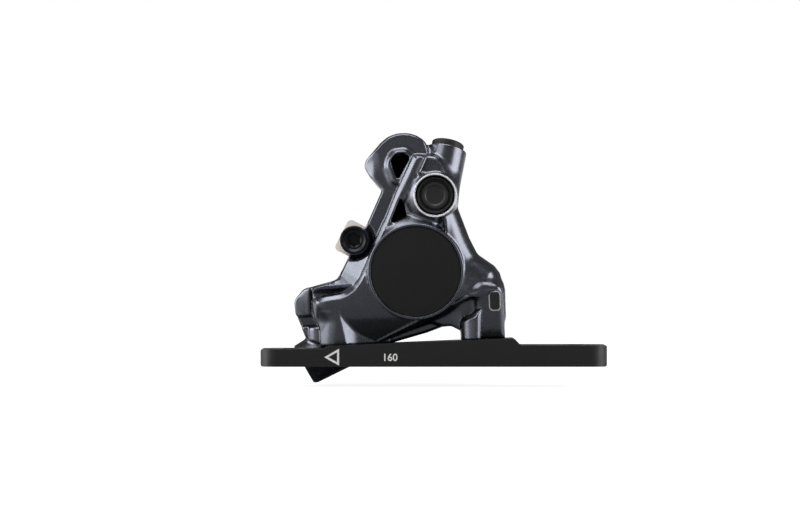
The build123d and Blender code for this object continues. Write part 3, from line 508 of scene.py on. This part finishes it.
# Below the lower ridge a web leans back and down to the arch, and out to the right foot
web_points = [(3.0, 5.4), (7.66, 3.6), (9.44, 3.66), (11.7, 2.4), (17.0, 2.4), (19.6, 13.0)]
below_ridge = 0.4545 * (U + 7.3) + 0.9 - V
web_front = -1.2 + 0.14 * below_ridge - 0.045 * np.clip(U - 5.0, 0, 7.2) ** 2
web_outline = outline(rounded(web_points, [0.3, 2, 1, 0.3, 0.3, 0.3]))
body = join(body, trim(web_outline, trim(web_front - Y, Y - 6.0, 0.3), 0.5), 0.5)

# The slanted boss for the bleed nipple
bleed_rim = (3.4782, 5.0, 54.6017)
bleed_line = (0.18411, 0.292372, 0.938415)
bleed_u, bleed_v = on_seat(bleed_rim[0], bleed_rim[2])
bleed_place = (bleed_u, bleed_rim[1], bleed_v)
bleed_lean_u, bleed_lean_v = seat_line(bleed_line[0], bleed_line[2])
bleed_axis = (bleed_lean_u, bleed_line[1], bleed_lean_v)
bleed_boss_radius, bleed_boss_root, bleed_boss_top = 5.0, -14.0, -0.5
bleed_boss = slanted_bar(bleed_place, bleed_axis, bleed_boss_radius, bleed_boss_root, bleed_boss_top, 0.2)
body = join(body, bleed_boss, 1.0)

# Left foot: a boss round its bolt, and a flat front that turns aside to the left and falls away in a
# wedge to the right
left_boss_radius, left_boss_height = 3.4, 8.0
left_boss = trim(post(-foot_bolt_u, 0.6, left_boss_radius), between(0.0, left_boss_height, V), 1.0)
past_flat = U + 17.6
wedge = FRONT + 1.1 + 0.04 * (V - 4.0) + 0.75 * past_flat - 0.4 * np.logaddexp(0, (past_flat - 3.2) / 0.8)
foot_face = trim(trim(upper_lean, left_lean, 1.1), wedge, 0.1)
foot_sides = trim(trim(U + 6.0, -23.1 - U, 0.2), between(0.0, 8.6, V), 0.5)
foot = trim(trim((foot_face - Y) * 0.85, foot_sides, 0.3), Y - 4.0, 0.3)
body = join(body, join(left_boss, foot, 0.5), 0.35)


# Right foot: a flat pad outboard of its bolt, with a column beside it whose top slopes up to the pad
def pad_front(height):
    """How far across the rotor the pad's face is: it leans back as it goes down."""
    return -4.6 - 0.2 * (height - 6.0)


foot_back = 6.6
pad_points = [(16.2, 0.0), (22.9, 0.0), (22.75, 13.4), (16.2, 13.4)]
pad_outline = outline(rounded(pad_points, [0.2, 0.2, 2.0, 2.0]))
body = join(body, trim(pad_outline, trim(pad_front(V) - Y, Y - foot_back, 0.3), 1.8), 2.6)
column_top = [(17.4, 7.9), (14.6, 6.3)]
column_outline = outline([(11.7, 0.0), (16.7, 0.0)] + column_top + [(11.7, 5.6)])
column_front = np.minimum(post(16.2, -2.0, 4.5), np.maximum(16.2 - U, -6.5 - Y))
column_bevel = outline([(7.0, -4.0), (16.7, -4.0)] + column_top + [(7.0, 4.5)]) + column_front + 1.05
column = trim(trim(column_outline, column_front, 0.2), column_bevel * 0.707, 0.15)
body = join(body, trim(column, Y - foot_back, 0.3), 0.25)

# Lower bridge's outer end: a rounded post above a notch, and the lump below it
bridge_points = [
    (-17.0, 16.5), (-21.1, 15.65), (-27.0, 14.35), (-29.5, 11.5), (-29.3, 8.3), (-26.9, 1.6), (-22.4, 0.0),
    (-17.0, 0.0), (-13.6, 7.8),
]
bridge_outline = outline(rounded(bridge_points, [1, 2, 2.5, 2.5, 4, 2.5, 1, 1, 1]))
bridge = trim(bridge_outline, between(4.4, 27.4), 1.1)
notch_low, notch_high = 4.9, 7.5
post_front = 2.3 + 0.3 * (14.5 - V)
end_post = trim(between(-30.0, -25.2, U), trim(post_front - Y, Y - 8.0, 0.3), 0.6)
end_post = trim(end_post, trim(bridge_outline, notch_high - V, 0.6), 0.8)
end_post = carve(end_post, np.hypot(U + 28.1, Y - post_front + 1.8) - 2.7, 0.4)
notch = trim(trim(between(notch_low, notch_high, V), U + 22.0, 0.3), Y - 8.0, 0.3)
lump = trim(trim(post(-23.4, 5.2, 3.0), bridge_outline, 0.5), trim(V - notch_low, Y - 9, 0.5), 0.9)
bridge = carve(join(join(bridge, end_post, 0.3), lump, 0.2), notch, 0.4)
body = join(body, bridge, 0.4)

# Inboard half: a plain shell that narrows to its face, round its own bore boss
shell_points = [
    (-3.4, 46.8), (-6.4, 38.1), (-10.6, 29.6), (-15.4, 21.9), (-19.0, 16.0), (-25.8, 14.4), (-27.2, 6.2),
    (-22.4, 1.6), (-4.9, 1.6), (3.5, 2.4), (11.2, 5.2), (17.6, 13.5), (16.8, 20.8), (15.0, 25.3),
    (12.3, 33.3), (10.2, 44.2),
]
face_points = [
    (-1.7, 44.7), (-4.1, 37.4), (-7.5, 29.6), (-12.2, 21.9), (-15.6, 14.0), (-22.4, 12.5), (-23.1, 6.2),
    (-20.4, 3.9), (-5.4, 4.4), (3.1, 4.7), (9.9, 7.3), (15.3, 14.0), (14.3, 20.3), (12.6, 24.4),
    (9.9, 32.2), (6.8, 41.6),
]
shell_flank, shell_back = 23.6, 30.15
back_boss_radius, back_boss_face = 14.2, 31.75
back_share = np.clip((Y - shell_flank) / (shell_back - shell_flank), 0, 1)
shell_outline, face_outline = outline(rounded(shell_points, 2.5)), outline(rounded(face_points, 2.5))
shell = shell_outline * (1 - back_share) + face_outline * back_share
body = join(body, trim(shell, between(ROTOR_Y, shell_back), 2.2), 0.6)
body = join(body, trim(disc(piston_spot, back_boss_radius), between(ROTOR_Y, back_boss_face), 1.6), 1.6)

# The seat, and the hose boss that hangs below it
body = trim(body, -V, 0.2)
hose_u, hose_v = on_seat(-32.2924, 0.3281)
hose_place = (hose_u - 0.3, 16.5, hose_v - 0.4)
hose_lean_u, hose_lean_v = seat_line(-0.87462, -0.48481)
hose_axis = (hose_lean_u, 0.0, hose_lean_v)
hose_boss_radius, hose_boss_root, hose_boss_top = 5.5, -15.0, 0.2
hose_boss = slanted_bar(hose_place, hose_axis, hose_boss_radius, hose_boss_root, hose_boss_top, 0.25,
                        draft=0.05)
body = join(body, hose_boss, 1.2)

# Machined: the rotor's slot, the pads' pocket that opens outward from the wheel, and both bores
rotor_edge_radius, rotor_slot_half = 81.5, 2.4
pocket_half_width, pocket_half_depth, pocket_floor = 11.5, 5.4, -11.4
bore_radius, bore_front, bore_back = 11.04, -1.75, 29.75
wheel_spot = on_seat(60.6845, -9.7326)
outward = seat_line(-0.8902, 0.4555)
pad_along = (U - piston_spot[0]) * outward[0] + (V - piston_spot[1]) * outward[1]
pad_across = -(U - piston_spot[0]) * outward[1] + (V - piston_spot[1]) * outward[0]
rotor_slot = trim(disc(wheel_spot, rotor_edge_radius), np.abs(Y - ROTOR_Y) - rotor_slot_half, 0.15)
pad_pocket = trim(between(pocket_floor, 60.0, pad_along), np.abs(pad_across) - pocket_half_width, 1.0)
pad_pocket = trim(pad_pocket, np.abs(Y - ROTOR_Y) - pocket_half_depth, 0.15)
bores = trim(disc(piston_spot, bore_radius), between(bore_front, bore_back), 0.1)
machined = together(rotor_slot, pad_pocket, bores)

# Cut from the outboard side: the cap's seat, the valve cap's port, the valve screw's bore, and the
# faces round that port and round the bore
for hole_place, hole_radius, hole_floor, hole_edge in (
        (piston_spot, 11.3, bore_front, 0.1), (valve_spot, 4.9, 0.05, 0.1), (valve_spot, 3.44, 5.45, 0.1),
        (valve_spot, 5.6, VALVE_FACE, 0.05), (piston_spot, 11.8, LIP, 0.05)):
    hole = trim(disc(hole_place, hole_radius), Y - hole_floor, hole_edge)
    machined = together(machined, hole)

# The axle's hole, the plugged drilling, the bleed nipple's and the hose's ports with their faces, and
# the feet's threaded holes
axle_hole_radius = 2.05
drilling_radius, drilling_end = 1.6, 25.0
thread_radius, thread_depth = 2.5, 10.0
cutter_radius, cutter_reach = 7.0, 6.0
plugged_drilling = trim(disc(spot_of("passage_plugs"), drilling_radius), drilling_end - Y, 0.1)
machined = together(machined, disc(axle_spot, axle_hole_radius), plugged_drilling)
for port_place, port_axis, port_radius, port_depth, boss_top in (
        (bleed_place, bleed_axis, 3.3, 6.5, bleed_boss_top),
        (hose_place, hose_axis, 3.6, 9.0, hose_boss_top)):
    port_bore = slanted_bar(port_place, port_axis, port_radius, -port_depth, cutter_reach)
    port_face = slanted_bar(port_place, port_axis, cutter_radius, boss_top, cutter_reach)
    machined = together(machined, port_bore, port_face)
for bolt_u in (-foot_bolt_u, foot_bolt_u):
    machined = together(machined, trim(post(bolt_u, 0.0, thread_radius), V - thread_depth, 0.1))
body = carve(body, machined, 0.3)

# The spotface round the axle's head, whose floor falls away to its rim
spotface_radius, flat_radius, rim_slope = 5.2, 3.7, 0.6
past_spot = np.clip(disc(axle_spot, flat_radius), 0, spotface_radius - flat_radius)
spot_floor = ear_front + rim_slope * past_spot
spotface = trim(disc(axle_spot, spotface_radius), np.minimum(Y - spot_floor, ear_back - Y), 0.25)
body = carve(body, spotface, 0.25)

# As forged and left so: the pockets that lighten hook and web, the retainers' windows, the clearance
# for the fork bolt's tool, and a slit above the left foot
pocket_floor_lean = 0.9
body = carve(body, trim(pocket_outline, Y - 3.5 - pocket_floor_lean * (V - 41.0), 0.2), 0.45)
web_hole = outline(rounded([(-1.62, 36.6), (-4.75, 29.75), (-0.5, 31.5)], 0.4))
body = carve(body, trim(web_hole, Y - 1.5 - pocket_floor_lean * (V - 30.0), 0.2), 0.45)


def window_loop(half_width, half_height, corner):
    """A rounded outline round the middle of the right foot's window."""
    u, v = 20.6, 9.5
    corners = [(-half_width, -half_height), (half_width, -half_height), (half_width, half_height),
               (-half_width, half_height)]
    return rounded([(u + across, v + up) for across, up in corners], corner)


window_opening = window_loop(1.2, 2.2, 0.8)
body = carve(body, trim(outline(window_opening), between(-20.0, -2.4), 0.2), 0.15)
left_window = trim(trim(between(-1.2, 1.2), between(3.9, 8.3, V), 0.8), U + 20.6, 0.2)
body = carve(body, left_window, 0.4)
tool_u = on_seat(-35.0, 0.0)[0]
tool_radius = 4.9
tool_way = join(np.hypot(U - tool_u, Y) - tool_radius, trim(U - tool_u - tool_radius, Y, 0.1), 0.3)
body = carve(body, tool_way, 0.5)
slit = trim(between(-20.9, -19.3, U), trim(between(15.1, 15.9, V), Y - 3.0, 0.2), 0.4)
body = carve(body, slit, 0.2)


def skin(field):
    """The surface where a field is zero: a vertex in each cell it passes, a quad on each crossing."""
    inside = field < 0
    shape = field.shape
    count = np.zeros([s - 1 for s in shape], np.uint8)
    corners = [(i, j, k) for i in (0, 1) for j in (0, 1) for k in (0, 1)]
    for i, j, k in corners:
        count += inside[i:shape[0] - 1 + i, j:shape[1] - 1 + j, k:shape[2] - 1 + k]
    cells = np.argwhere((count > 0) & (count < 8))
    number = np.full(count.shape, -1, np.int64)
    number[tuple(cells.T)] = np.arange(len(cells))
    values = {c: field[tuple((cells + np.array(c)).T)] for c in corners}
    total = np.zeros((len(cells), 3))
    crossings = np.zeros(len(cells))
    for a in corners:
        for axis in range(3):
            if a[axis]:
                continue
            b = tuple(1 if n == axis else a[n] for n in range(3))
            va, vb = values[a], values[b]
            crossed = (va < 0) != (vb < 0)
            share = va[crossed] / (va[crossed] - vb[crossed])
            spot = np.repeat(np.array([a], float), len(share), 0)
            spot[:, axis] = share
            total[crossed] += spot
            crossings[crossed] += 1
    vertices = cells + total / crossings[:, None]
    quads = []
    for axis in range(3):
        second, third = (axis + 1) % 3, (axis + 2) % 3
        ahead = [slice(None)] * 3
        here = [slice(None)] * 3
        ahead[axis], here[axis] = slice(1, None), slice(None, -1)
        start, end = inside[tuple(here)], inside[tuple(ahead)]
        crossed = np.argwhere(start != end)
        crossed = crossed[(crossed[:, second] > 0) & (crossed[:, third] > 0)]
        leaving = start[tuple(crossed.T)]
        back_second = np.eye(3, dtype=int)[second]
        back_third = np.eye(3, dtype=int)[third]
        ring = [crossed - back_second - back_third, crossed - back_third, crossed, crossed - back_second]
        quad = np.stack([number[tuple(c.T)] for c in ring], 1)
        quad[~leaving] = quad[~leaving][:, ::-1]
        quads.append(quad)
    return vertices, np.concatenate(quads)


def sample(field, vertices):
    """A field's values at places between its grid points."""
    low = np.floor(vertices).astype(int)
    share = vertices - low
    value = 0.0
    for i in (0, 1):
        for j in (0, 1):
            for k in (0, 1):
                weight = np.abs(1 - np.array([i, j, k]) - share).prod(1)
                value = value + weight * field[low[:, 0] + i, low[:, 1] + j, low[:, 2] + k]
    return value


# The paint is glossy and dark over the forging's faint waves, and its metal flakes sparkle a little.
# They are drawn at 0.12 mm, coarser than real ones, so that they show.
painted = finish("painted forged aluminium", "#55565b", metallic=0.95, roughness=0.28, grain=1.6,
                 detail=3.0, flake=(0.12, 1.0), shades=("#53555c", "#5d5f67"), sheen=(0.24, 0.31),
                 relief=0.0025, more={"Coat Weight": 0.15, "Coat Roughness": 0.2})

# The cutter leaves bright bare metal with fine marks across the bores, drawn at 0.1 mm so that they
# show
cut_metal = finish("machined aluminium", "#8b8c92", metallic=1.0, roughness=0.28, grain=0.1,
                   stretch=(1, 6, 1), shades=("#7c7d84", "#9a9ba2"), sheen=(0.22, 0.36), relief=0.004)

body_vertices, body_quads = skin(body)
seat_places = body_vertices * grid_step + np.array([U[0, 0, 0], Y[0, 0, 0], V[0, 0, 0]])
body_x, body_z = off_seat(seat_places[:, 0], seat_places[:, 2])
body_mesh = bare_mesh("forged_body", np.stack([body_x, seat_places[:, 1], body_z], 1) * MM,
                      body_quads[:, ::-1], [painted, cut_metal], smooth=True)
cut_reach = 0.08
cut_depth = sample(machined, body_vertices)
body_mesh.polygons.foreach_set("material_index", (cut_depth[body_quads].mean(1) < cut_reach).astype(int))
fit_piece("forged_body", body_mesh, "caliper", ["caliper_body"])


# Rims on the body. The valve port's turned rim and the edge of the right foot's window are cut after
# painting and left bare, and the bore's turned lip is painted with the body.
OUTBOARD = (0, -1, 0)


def turned(name, profile, origin, axis, material, body_name, replaced=(), hexed=()):
    """A turned piece from (radius, height) points in millimetres. Those numbered in hexed make a hexagon
    in place of a circle."""
    segments = 96
    sharp_angle = math.radians(32)
    merge_distance = 1e-7
    turn = Vector(axis).to_track_quat("Z", "Y")
    mesh = bmesh.new()
    rings = []
    for number, (radius, height) in enumerate(profile):
        ring = []
        for i in range(segments):
            angle = 2 * math.pi * i / segments
            reach = radius
            if number in hexed:
                reach = radius / math.cos((angle + math.pi / 6) % (math.pi / 3) - math.pi / 6)
            spot = turn @ Vector((reach * math.cos(angle), reach * math.sin(angle), height))
            ring.append(mesh.verts.new((spot + Vector(origin)) * MM))
        rings.append(ring)
    for low, high in zip(rings, rings[1:] + rings[:1]):
        for i in range(segments):
            mesh.faces.new((low[i], low[i - 1], high[i - 1], high[i]))
    bmesh.ops.remove_doubles(mesh, verts=mesh.verts, dist=merge_distance)
    bmesh.ops.dissolve_degenerate(mesh, dist=merge_distance, edges=mesh.edges)
    bmesh.ops.recalc_face_normals(mesh, faces=mesh.faces)
    data = bpy.data.meshes.new(name)
    mesh.to_mesh(data)
    mesh.free()
    data.materials.append(material)
    data.polygons.foreach_set("use_smooth", [True] * len(data.polygons))
    data.set_sharp_from_angle(angle=sharp_angle)
    return fit_piece(name, data, body_name, replaced)


# Bare aluminium fresh from the lathe is pale and silky, with marks too fine to tell apart
bare_rim = finish("bare turned aluminium", "#dedee0", metallic=0.3, roughness=0.4, grain=0.06,
                  detail=1.0, shades=("#cfcfd2", "#ececee"), sheen=(0.34, 0.46))
cap_centre, valve_centre = centre_of("bore_cap"), centre_of("valve_cap")
port_inner, port_outer, port_top, port_sunk = 5.1, 5.46, 0.12, -0.5
port_profile = rounded([(port_inner, port_sunk), (port_inner, port_top), (port_outer, port_top),
                        (port_outer, port_sunk)], [0, 0.06, 0.1, 0])
turned("port_rim", port_profile, (valve_centre[0], VALVE_FACE, valve_centre[2]), OUTBOARD, bare_rim,
       "caliper")
lip_inner, lip_top, lip_sunk = 11.31, 0.02, -1.4
lip_profile = rounded([(lip_inner, lip_sunk), (lip_inner, lip_top), (12.0, lip_top), (12.05, lip_sunk)],
                      [0, 0.08, 0.45, 0])
turned("bore_rim", lip_profile, (cap_centre[0], LIP, cap_centre[2]), OUTBOARD, painted,
       "caliper")

rim_rise, rim_sink = -0.12, 0.8
window_rim_edge = window_loop(1.5, 2.5, 1.1)
window_rings = []
for loop, depth in ((window_rim_edge, rim_rise), (window_opening, rim_rise), (window_opening, rim_sink),
                    (window_rim_edge, rim_sink)):
    places = [(*off_seat(u, v), pad_front(v) + depth) for u, v in loop]
    window_rings.append([(x * MM, y * MM, z * MM) for x, z, y in places])
window_mesh = bare_mesh("window_rim", *hoop(window_rings), [bare_rim], smooth=False)
fit_piece("window_rim", window_mesh, "caliper")


# Pistons: two cups, moulded in phenolic resin and ground to size outside. They slide in the bores,
# open side to the pads.
# The glass-filled resin is even and dull, a dark brownish black
resin = finish("ground phenolic resin", "#2b2724", metallic=0.0, roughness=0.5, grain=0.3, detail=3.0,
               shades=("#231f1d", "#36312d"), relief=0.003)
for node in ("outboard_piston", "inboard_piston"):
    dress(node, resin)


# Seals of pistons, cap and valve: square rings cut from a moulded rubber tube, pressed into their
# grooves, where they keep the fluid in and draw the pistons back.
# The rubber is a soft, even black that turns faintly grey with bloom
rubber = finish("moulded rubber", "#161616", metallic=0.0, roughness=0.5, grain=0.5, detail=3.0,
                shades=("#111111", "#1d1d1d"), sheen=(0.4, 0.56), relief=0.004,
                more={"Specular IOR Level": 0.4})
for node in ("outboard_piston_seal", "inboard_piston_seal", "bore_cap_seal", "valve_screw_seal"):
    dress(node, rubber)


# Bore cap: a turned aluminium disc, hollow behind, with a groove for its ring. It is blasted,
# anodised black and screwed into the bore's mouth.
# Blasting makes the black a dead matt one. Its grain is drawn at 0.18 mm so that it shows.
matt_cap = finish("blasted black anodised aluminium", "#101011", metallic=0.4, roughness=0.42, grain=0.18,
                  detail=3.0, shades=("#0d0d0e", "#161617"), sheen=(0.38, 0.5), relief=0.008)
cap_low, cap_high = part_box("bore_cap")
cap_radius = (cap_high[0] - cap_low[0]) / 2 / MM
cap_thick = (cap_high[1] - cap_low[1]) / MM
cap_hollow_radius, cap_web = 7.5, 2.2
groove_low, groove_high, groove_radius = 1.5, 3.0, cap_radius - 1.1
cap_profile = rounded(
    [(0, cap_thick - cap_web), (cap_hollow_radius, cap_thick - cap_web), (cap_hollow_radius, 0),
     (cap_radius, 0), (cap_radius, groove_low), (groove_radius, groove_low), (groove_radius, groove_high),
     (cap_radius, groove_high), (cap_radius, cap_thick), (0, cap_thick)],
    [0, 0, 0, 0.1, 0, 0, 0, 0, 0.25, 0])
turned("bore_cap_disc", cap_profile, (cap_centre[0], cap_high[1] / MM, cap_centre[2]), OUTBOARD, matt_cap,
       "caliper", ["bore_cap"])


# Brake pads: each a stamped steel backing in a pale zinc flake coat, with a lining of resin, fibre
# and metal chips pressed and baked onto it. They hang on the axle by a tab.
# The coat is pale, warm and matt, slightly cloudy where it has run
plated = finish("zinc flake coated steel", "#f5ede3", metallic=0.05, roughness=0.5, grain=0.8, detail=3.0,
                shades=("#eee5da", "#fbf4eb"), sheen=(0.36, 0.5), relief=0.006)
# The lining is rough and speckled, its light chips in dark resin
friction = finish("pressed friction lining", "#3a3431", metallic=0.1, roughness=0.75, grain=0.45,
                  shades=("#2a2523", "#6d6158"), relief=0.05)
for side in ("outboard", "inboard"):
    dress(side + "_pad_backing", plated)
    dress(side + "_pad_lining", friction)


# Pad spring: spring steel sheet, cut and folded over the axle. Its two leaves push the pads apart,
# and are pressed together as these close.
# Rolling leaves the sheet bright, with fine lines along it, drawn at 0.12 mm so that they show
spring_steel = finish("rolled spring steel", "#9a9892", metallic=1.0, roughness=0.3, grain=0.12,
                      stretch=(1, 1, 8), shades=("#8e8c86", "#a8a6a0"), sheen=(0.24, 0.38))
spring_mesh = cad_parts["pad_spring"].data.copy()
spring_mesh.materials.clear()
spring_mesh.materials.append(spring_steel)
pad_spring = fit_piece("pad_spring_leaves", spring_mesh, "caliper", ["pad_spring"])
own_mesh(pad_spring)


# Pad axle: a turned and blackened steel pin with a hex socket in its dished head. It passes through
# both ears and both pads' tabs, and a plain spring ring in the groove of its tail keeps it there.
axle_low, axle_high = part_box("pad_axle")
axle_centre = centre_of("pad_axle")
axle_length = (axle_high[1] - axle_low[1]) / MM
pin_radius, clip_groove_radius = 2.0, 1.55
clip_groove_low, clip_groove_high = 1.44, 2.1
head_radius, head_low = 3.5, axle_length - 3.2
dish_floor = axle_length - 0.45
hex_radius, hex_mouth, hex_floor = 1.5, axle_length - 0.75, axle_length - 2.4
axle_profile = rounded(
    [(0, 0), (clip_groove_radius, 0), (pin_radius, 0.45), (pin_radius, clip_groove_low),
     (clip_groove_radius, clip_groove_low), (clip_groove_radius, clip_groove_high),
     (pin_radius, clip_groove_high), (pin_radius, head_low), (head_radius, head_low),
     (head_radius, axle_length), (2.95, axle_length), (2.35, dish_floor), (1.9, dish_floor),
     (hex_radius, hex_mouth), (hex_radius, hex_floor), (0, hex_floor)],
    [0, 0, 0, 0, 0, 0, 0, 0, 0.15, 0.45, 0.12, 0.15, 0.1, 0, 0, 0])
socket_points = [i for i, (radius, height) in enumerate(axle_profile)
                 if abs(radius - hex_radius) < 0.01 and hex_floor - 0.1 < height < hex_mouth + 0.05]
turned("pad_axle_pin", axle_profile, (axle_centre[0], axle_high[1] / MM, axle_centre[2]), OUTBOARD,
       black_oxide, "caliper", ["pad_axle"], socket_points)
dress("pad_axle_clip", spring_steel)


# Bleed port: a turned steel nipple, screwed into the slanted boss, under a moulded rubber cap with a
# flange. The cap is pushed on by hand and keeps dirt out.
dress("bleed_nipple", black_oxide)
# This softer rubber is a deep satin black, with next to no highlight
soft_rubber = finish("satin moulded rubber", "#070708", metallic=0.0, roughness=0.54, grain=0.7,
                     shades=("#050506", "#0c0c0d"), sheen=(0.48, 0.6), more={"Specular IOR Level": 0.25})
plug_radius, flange_low = 3.25, -0.48
bleed_profile = rounded(
    [(0, -3.0), (plug_radius, -3.0), (plug_radius, flange_low), (4.0, flange_low), (4.05, 1.15),
     (3.3, 1.4), (0, 1.45)],
    [0, 0.4, 0, 0.15, 0.3, 0.5, 0])
turned("bleed_cap_rubber", bleed_profile, bleed_rim, bleed_line, soft_rubber, "bleed_cap",
       ["bleed_port_cap"])


# Valve: a small steel screw with its ring, deep in the side port, which opens it by a part turn. A
# round rubber cap, moulded with rings on its face, is pushed into the port over it.
dress("valve_screw", black_oxide)
valve_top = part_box("valve_cap")[0][1] / MM
valve_profile = rounded(
    [(0, -3.4), (4.85, -3.4), (4.85, -1.1), (4.62, -0.2), (4.45, 0.0), (4.1, 0.0), (3.95, -0.3),
     (3.9, -0.85), (3.5, -0.85), (3.42, -0.25), (3.15, -0.02), (2.6, -0.08), (2.2, -0.35), (0, -0.45)],
    [0, 0.3, 0.2, 0.1, 0.1, 0.1, 0.1, 0.1, 0.1, 0.15, 0.2, 0.3, 0.5, 0])
turned("valve_cap_rubber", valve_profile, (valve_centre[0], valve_top, valve_centre[2]), OUTBOARD, rubber,
       "valve_cap", ["valve_cap"])


# Bolt retainers and passage plug: moulded nylon inserts, snapped into the feet's windows so that the
# caliper bolts can't turn loose, and a steel pin pressed into the end of the fluid drilling.
# The nylon is black and satin, its skin a little uneven from the mould
nylon = finish("moulded black nylon", "#0c0c0d", metallic=0.0, roughness=0.5, grain=0.4,
               shades=("#090909", "#101011"), sheen=(0.34, 0.5))
dress("bolt_retainers", nylon)
dress("passage_plugs", black_oxide)


# Studio: a pale floor and a white backdrop, with softboxes at both sides, overhead and in front. The
# metal sees the backdrop behind it, the floor at its sides and a dim room elsewhere.
def background_rays(tree):
    """1 for rays that see the background: the camera's, and mirrored or refracted ones."""
    path = add(tree, "LightPath", {})
    mirrored = add(tree, "Math", {"operation": "MAXIMUM"}, {0: path.outputs["Is Glossy Ray"],
                                                            1: path.outputs["Is Transmission Ray"]})
    return path.outputs["Is Camera Ray"], mirrored.outputs[0]


# The floor's paper is a plain matt grey that glows white to the camera, a little less under the object,
# which is painted shade there, and to the metal only at its sides
floor_material = bpy.data.materials.new("pale studio floor")
floor_material.use_nodes = True
tree = floor_material.node_tree
bsdf = tree.nodes["Principled BSDF"]
bsdf.inputs["Base Color"].default_value = srgb("#6e6e6e")
bsdf.inputs["Roughness"].default_value = 0.9
camera_ray, mirrored_ray = background_rays(tree)
place = add(tree, "TexCoord", {})
split = add(tree, "SeparateXYZ", {}, {0: place.outputs["Object"]})
aside = add(tree, "Math", {"operation": "ABSOLUTE"}, {0: split.outputs["X"]})
sweep = add(tree, "MapRange", {"From Min": 0.04, "From Max": 0.12}, {"Value": aside.outputs[0]})
side_glow = add(tree, "Math", {"operation": "MULTIPLY"}, {0: sweep.outputs["Result"], 1: mirrored_ray})
# Painted shade: the floor's glow to the camera dims towards the object, so the floor is darker under it
away = add(tree, "VectorMath", {"operation": "LENGTH"}, {0: place.outputs["Object"]})
glow_with_painted_shade = add(tree, "MapRange", {"From Min": 0.02, "From Max": 0.3, "To Min": 0.88, "To Max": 1.0},
           {"Value": away.outputs["Value"]})
front_glow = add(tree, "Math", {"operation": "MULTIPLY"}, {0: glow_with_painted_shade.outputs["Result"], 1: camera_ray})
glow_level = add(tree, "Math", {"operation": "ADD"}, {0: side_glow.outputs[0], 1: front_glow.outputs[0]})
glow = add(tree, "Emission", {}, {"Strength": glow_level.outputs[0]})
both = add(tree, "AddShader", {}, {0: bsdf.outputs[0], 1: glow.outputs[0]})
tree.links.new(both.outputs[0], tree.nodes["Material Output"].inputs["Surface"])
floor_reach = 3.0
floor_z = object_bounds()[0][2] - 0.5 * MM
floor_sides = ((-1, -1), (1, -1), (1, 1), (-1, 1))
floor_corners = [(x * floor_reach, y * floor_reach, floor_z) for x, y in floor_sides]
floor_mesh = bare_mesh("floor", floor_corners, [(0, 1, 2, 3)], [floor_material], smooth=False)
put("floor", floor_mesh)

# The backdrop is the world itself: white to the camera, and to the metal only straight behind it
world = bpy.data.worlds.new("studio")
bpy.context.scene.world = world
world.use_nodes = True
tree = world.node_tree
background = tree.nodes["Background"]
background.inputs["Color"].default_value = (1, 1, 1, 1)
camera_ray, mirrored_ray = background_rays(tree)
place = add(tree, "TexCoord", {})
split = add(tree, "SeparateXYZ", {}, {0: place.outputs["Generated"]})
behind_it = add(tree, "MapRange", {"From Min": 0.965, "From Max": 0.985}, {"Value": split.outputs["Y"]})
backdrop = add(tree, "Math", {"operation": "MULTIPLY"}, {0: behind_it.outputs["Result"], 1: mirrored_ray})
white = add(tree, "Math", {"operation": "MAXIMUM"}, {0: camera_ray, 1: backdrop.outputs[0]})
level = add(tree, "MapRange", {"To Min": 0.1}, {"Value": white.outputs[0]})
tree.links.new(level.outputs["Result"], background.inputs["Strength"])

# Each softbox faces the middle of the caliper: name, place, width and height in metres, power in watts
lamp_target = Vector((-0.003, 0.01, 0.027))
for name, place, width, height, power in (
        ("left softbox", (-0.6, -0.03, 0.08), 0.5, 0.7, 6.4),
        ("right softbox", (0.58, -0.14, 0.08), 0.46, 0.7, 6.0),
        ("top softbox", (-0.05, -0.1, 0.65), 0.6, 0.45, 5.0),
        ("high front softbox", (-0.38, -0.42, 0.5), 0.4, 0.4, 1.8),
        ("front softbox", (0.1, -1.6, 0.32), 1.1, 0.8, 0.45)):
    lamp = bpy.data.lights.new(name, "AREA")
    lamp.shape = "RECTANGLE"
    lamp.size = width
    lamp.size_y = height
    lamp.energy = power
    holder = put(name, lamp)
    aim = (lamp_target - Vector(place)).to_track_quat("-Z", "Y").to_matrix().to_4x4()
    holder.matrix_world = Matrix.Translation(place) @ aim

# A long lens, level with the caliper and straight in front of its outboard side
camera_data = bpy.data.cameras.new("camera")
camera_data.lens = 200
camera_data.sensor_width = 36
camera = put("camera", camera_data)
camera.location = (-0.0084, -1.1111, 0.027)
camera.rotation_euler = (math.pi / 2, 0, 0)
bpy.context.scene.camera = camera
bpy.context.scene.view_settings.view_transform = "Standard"
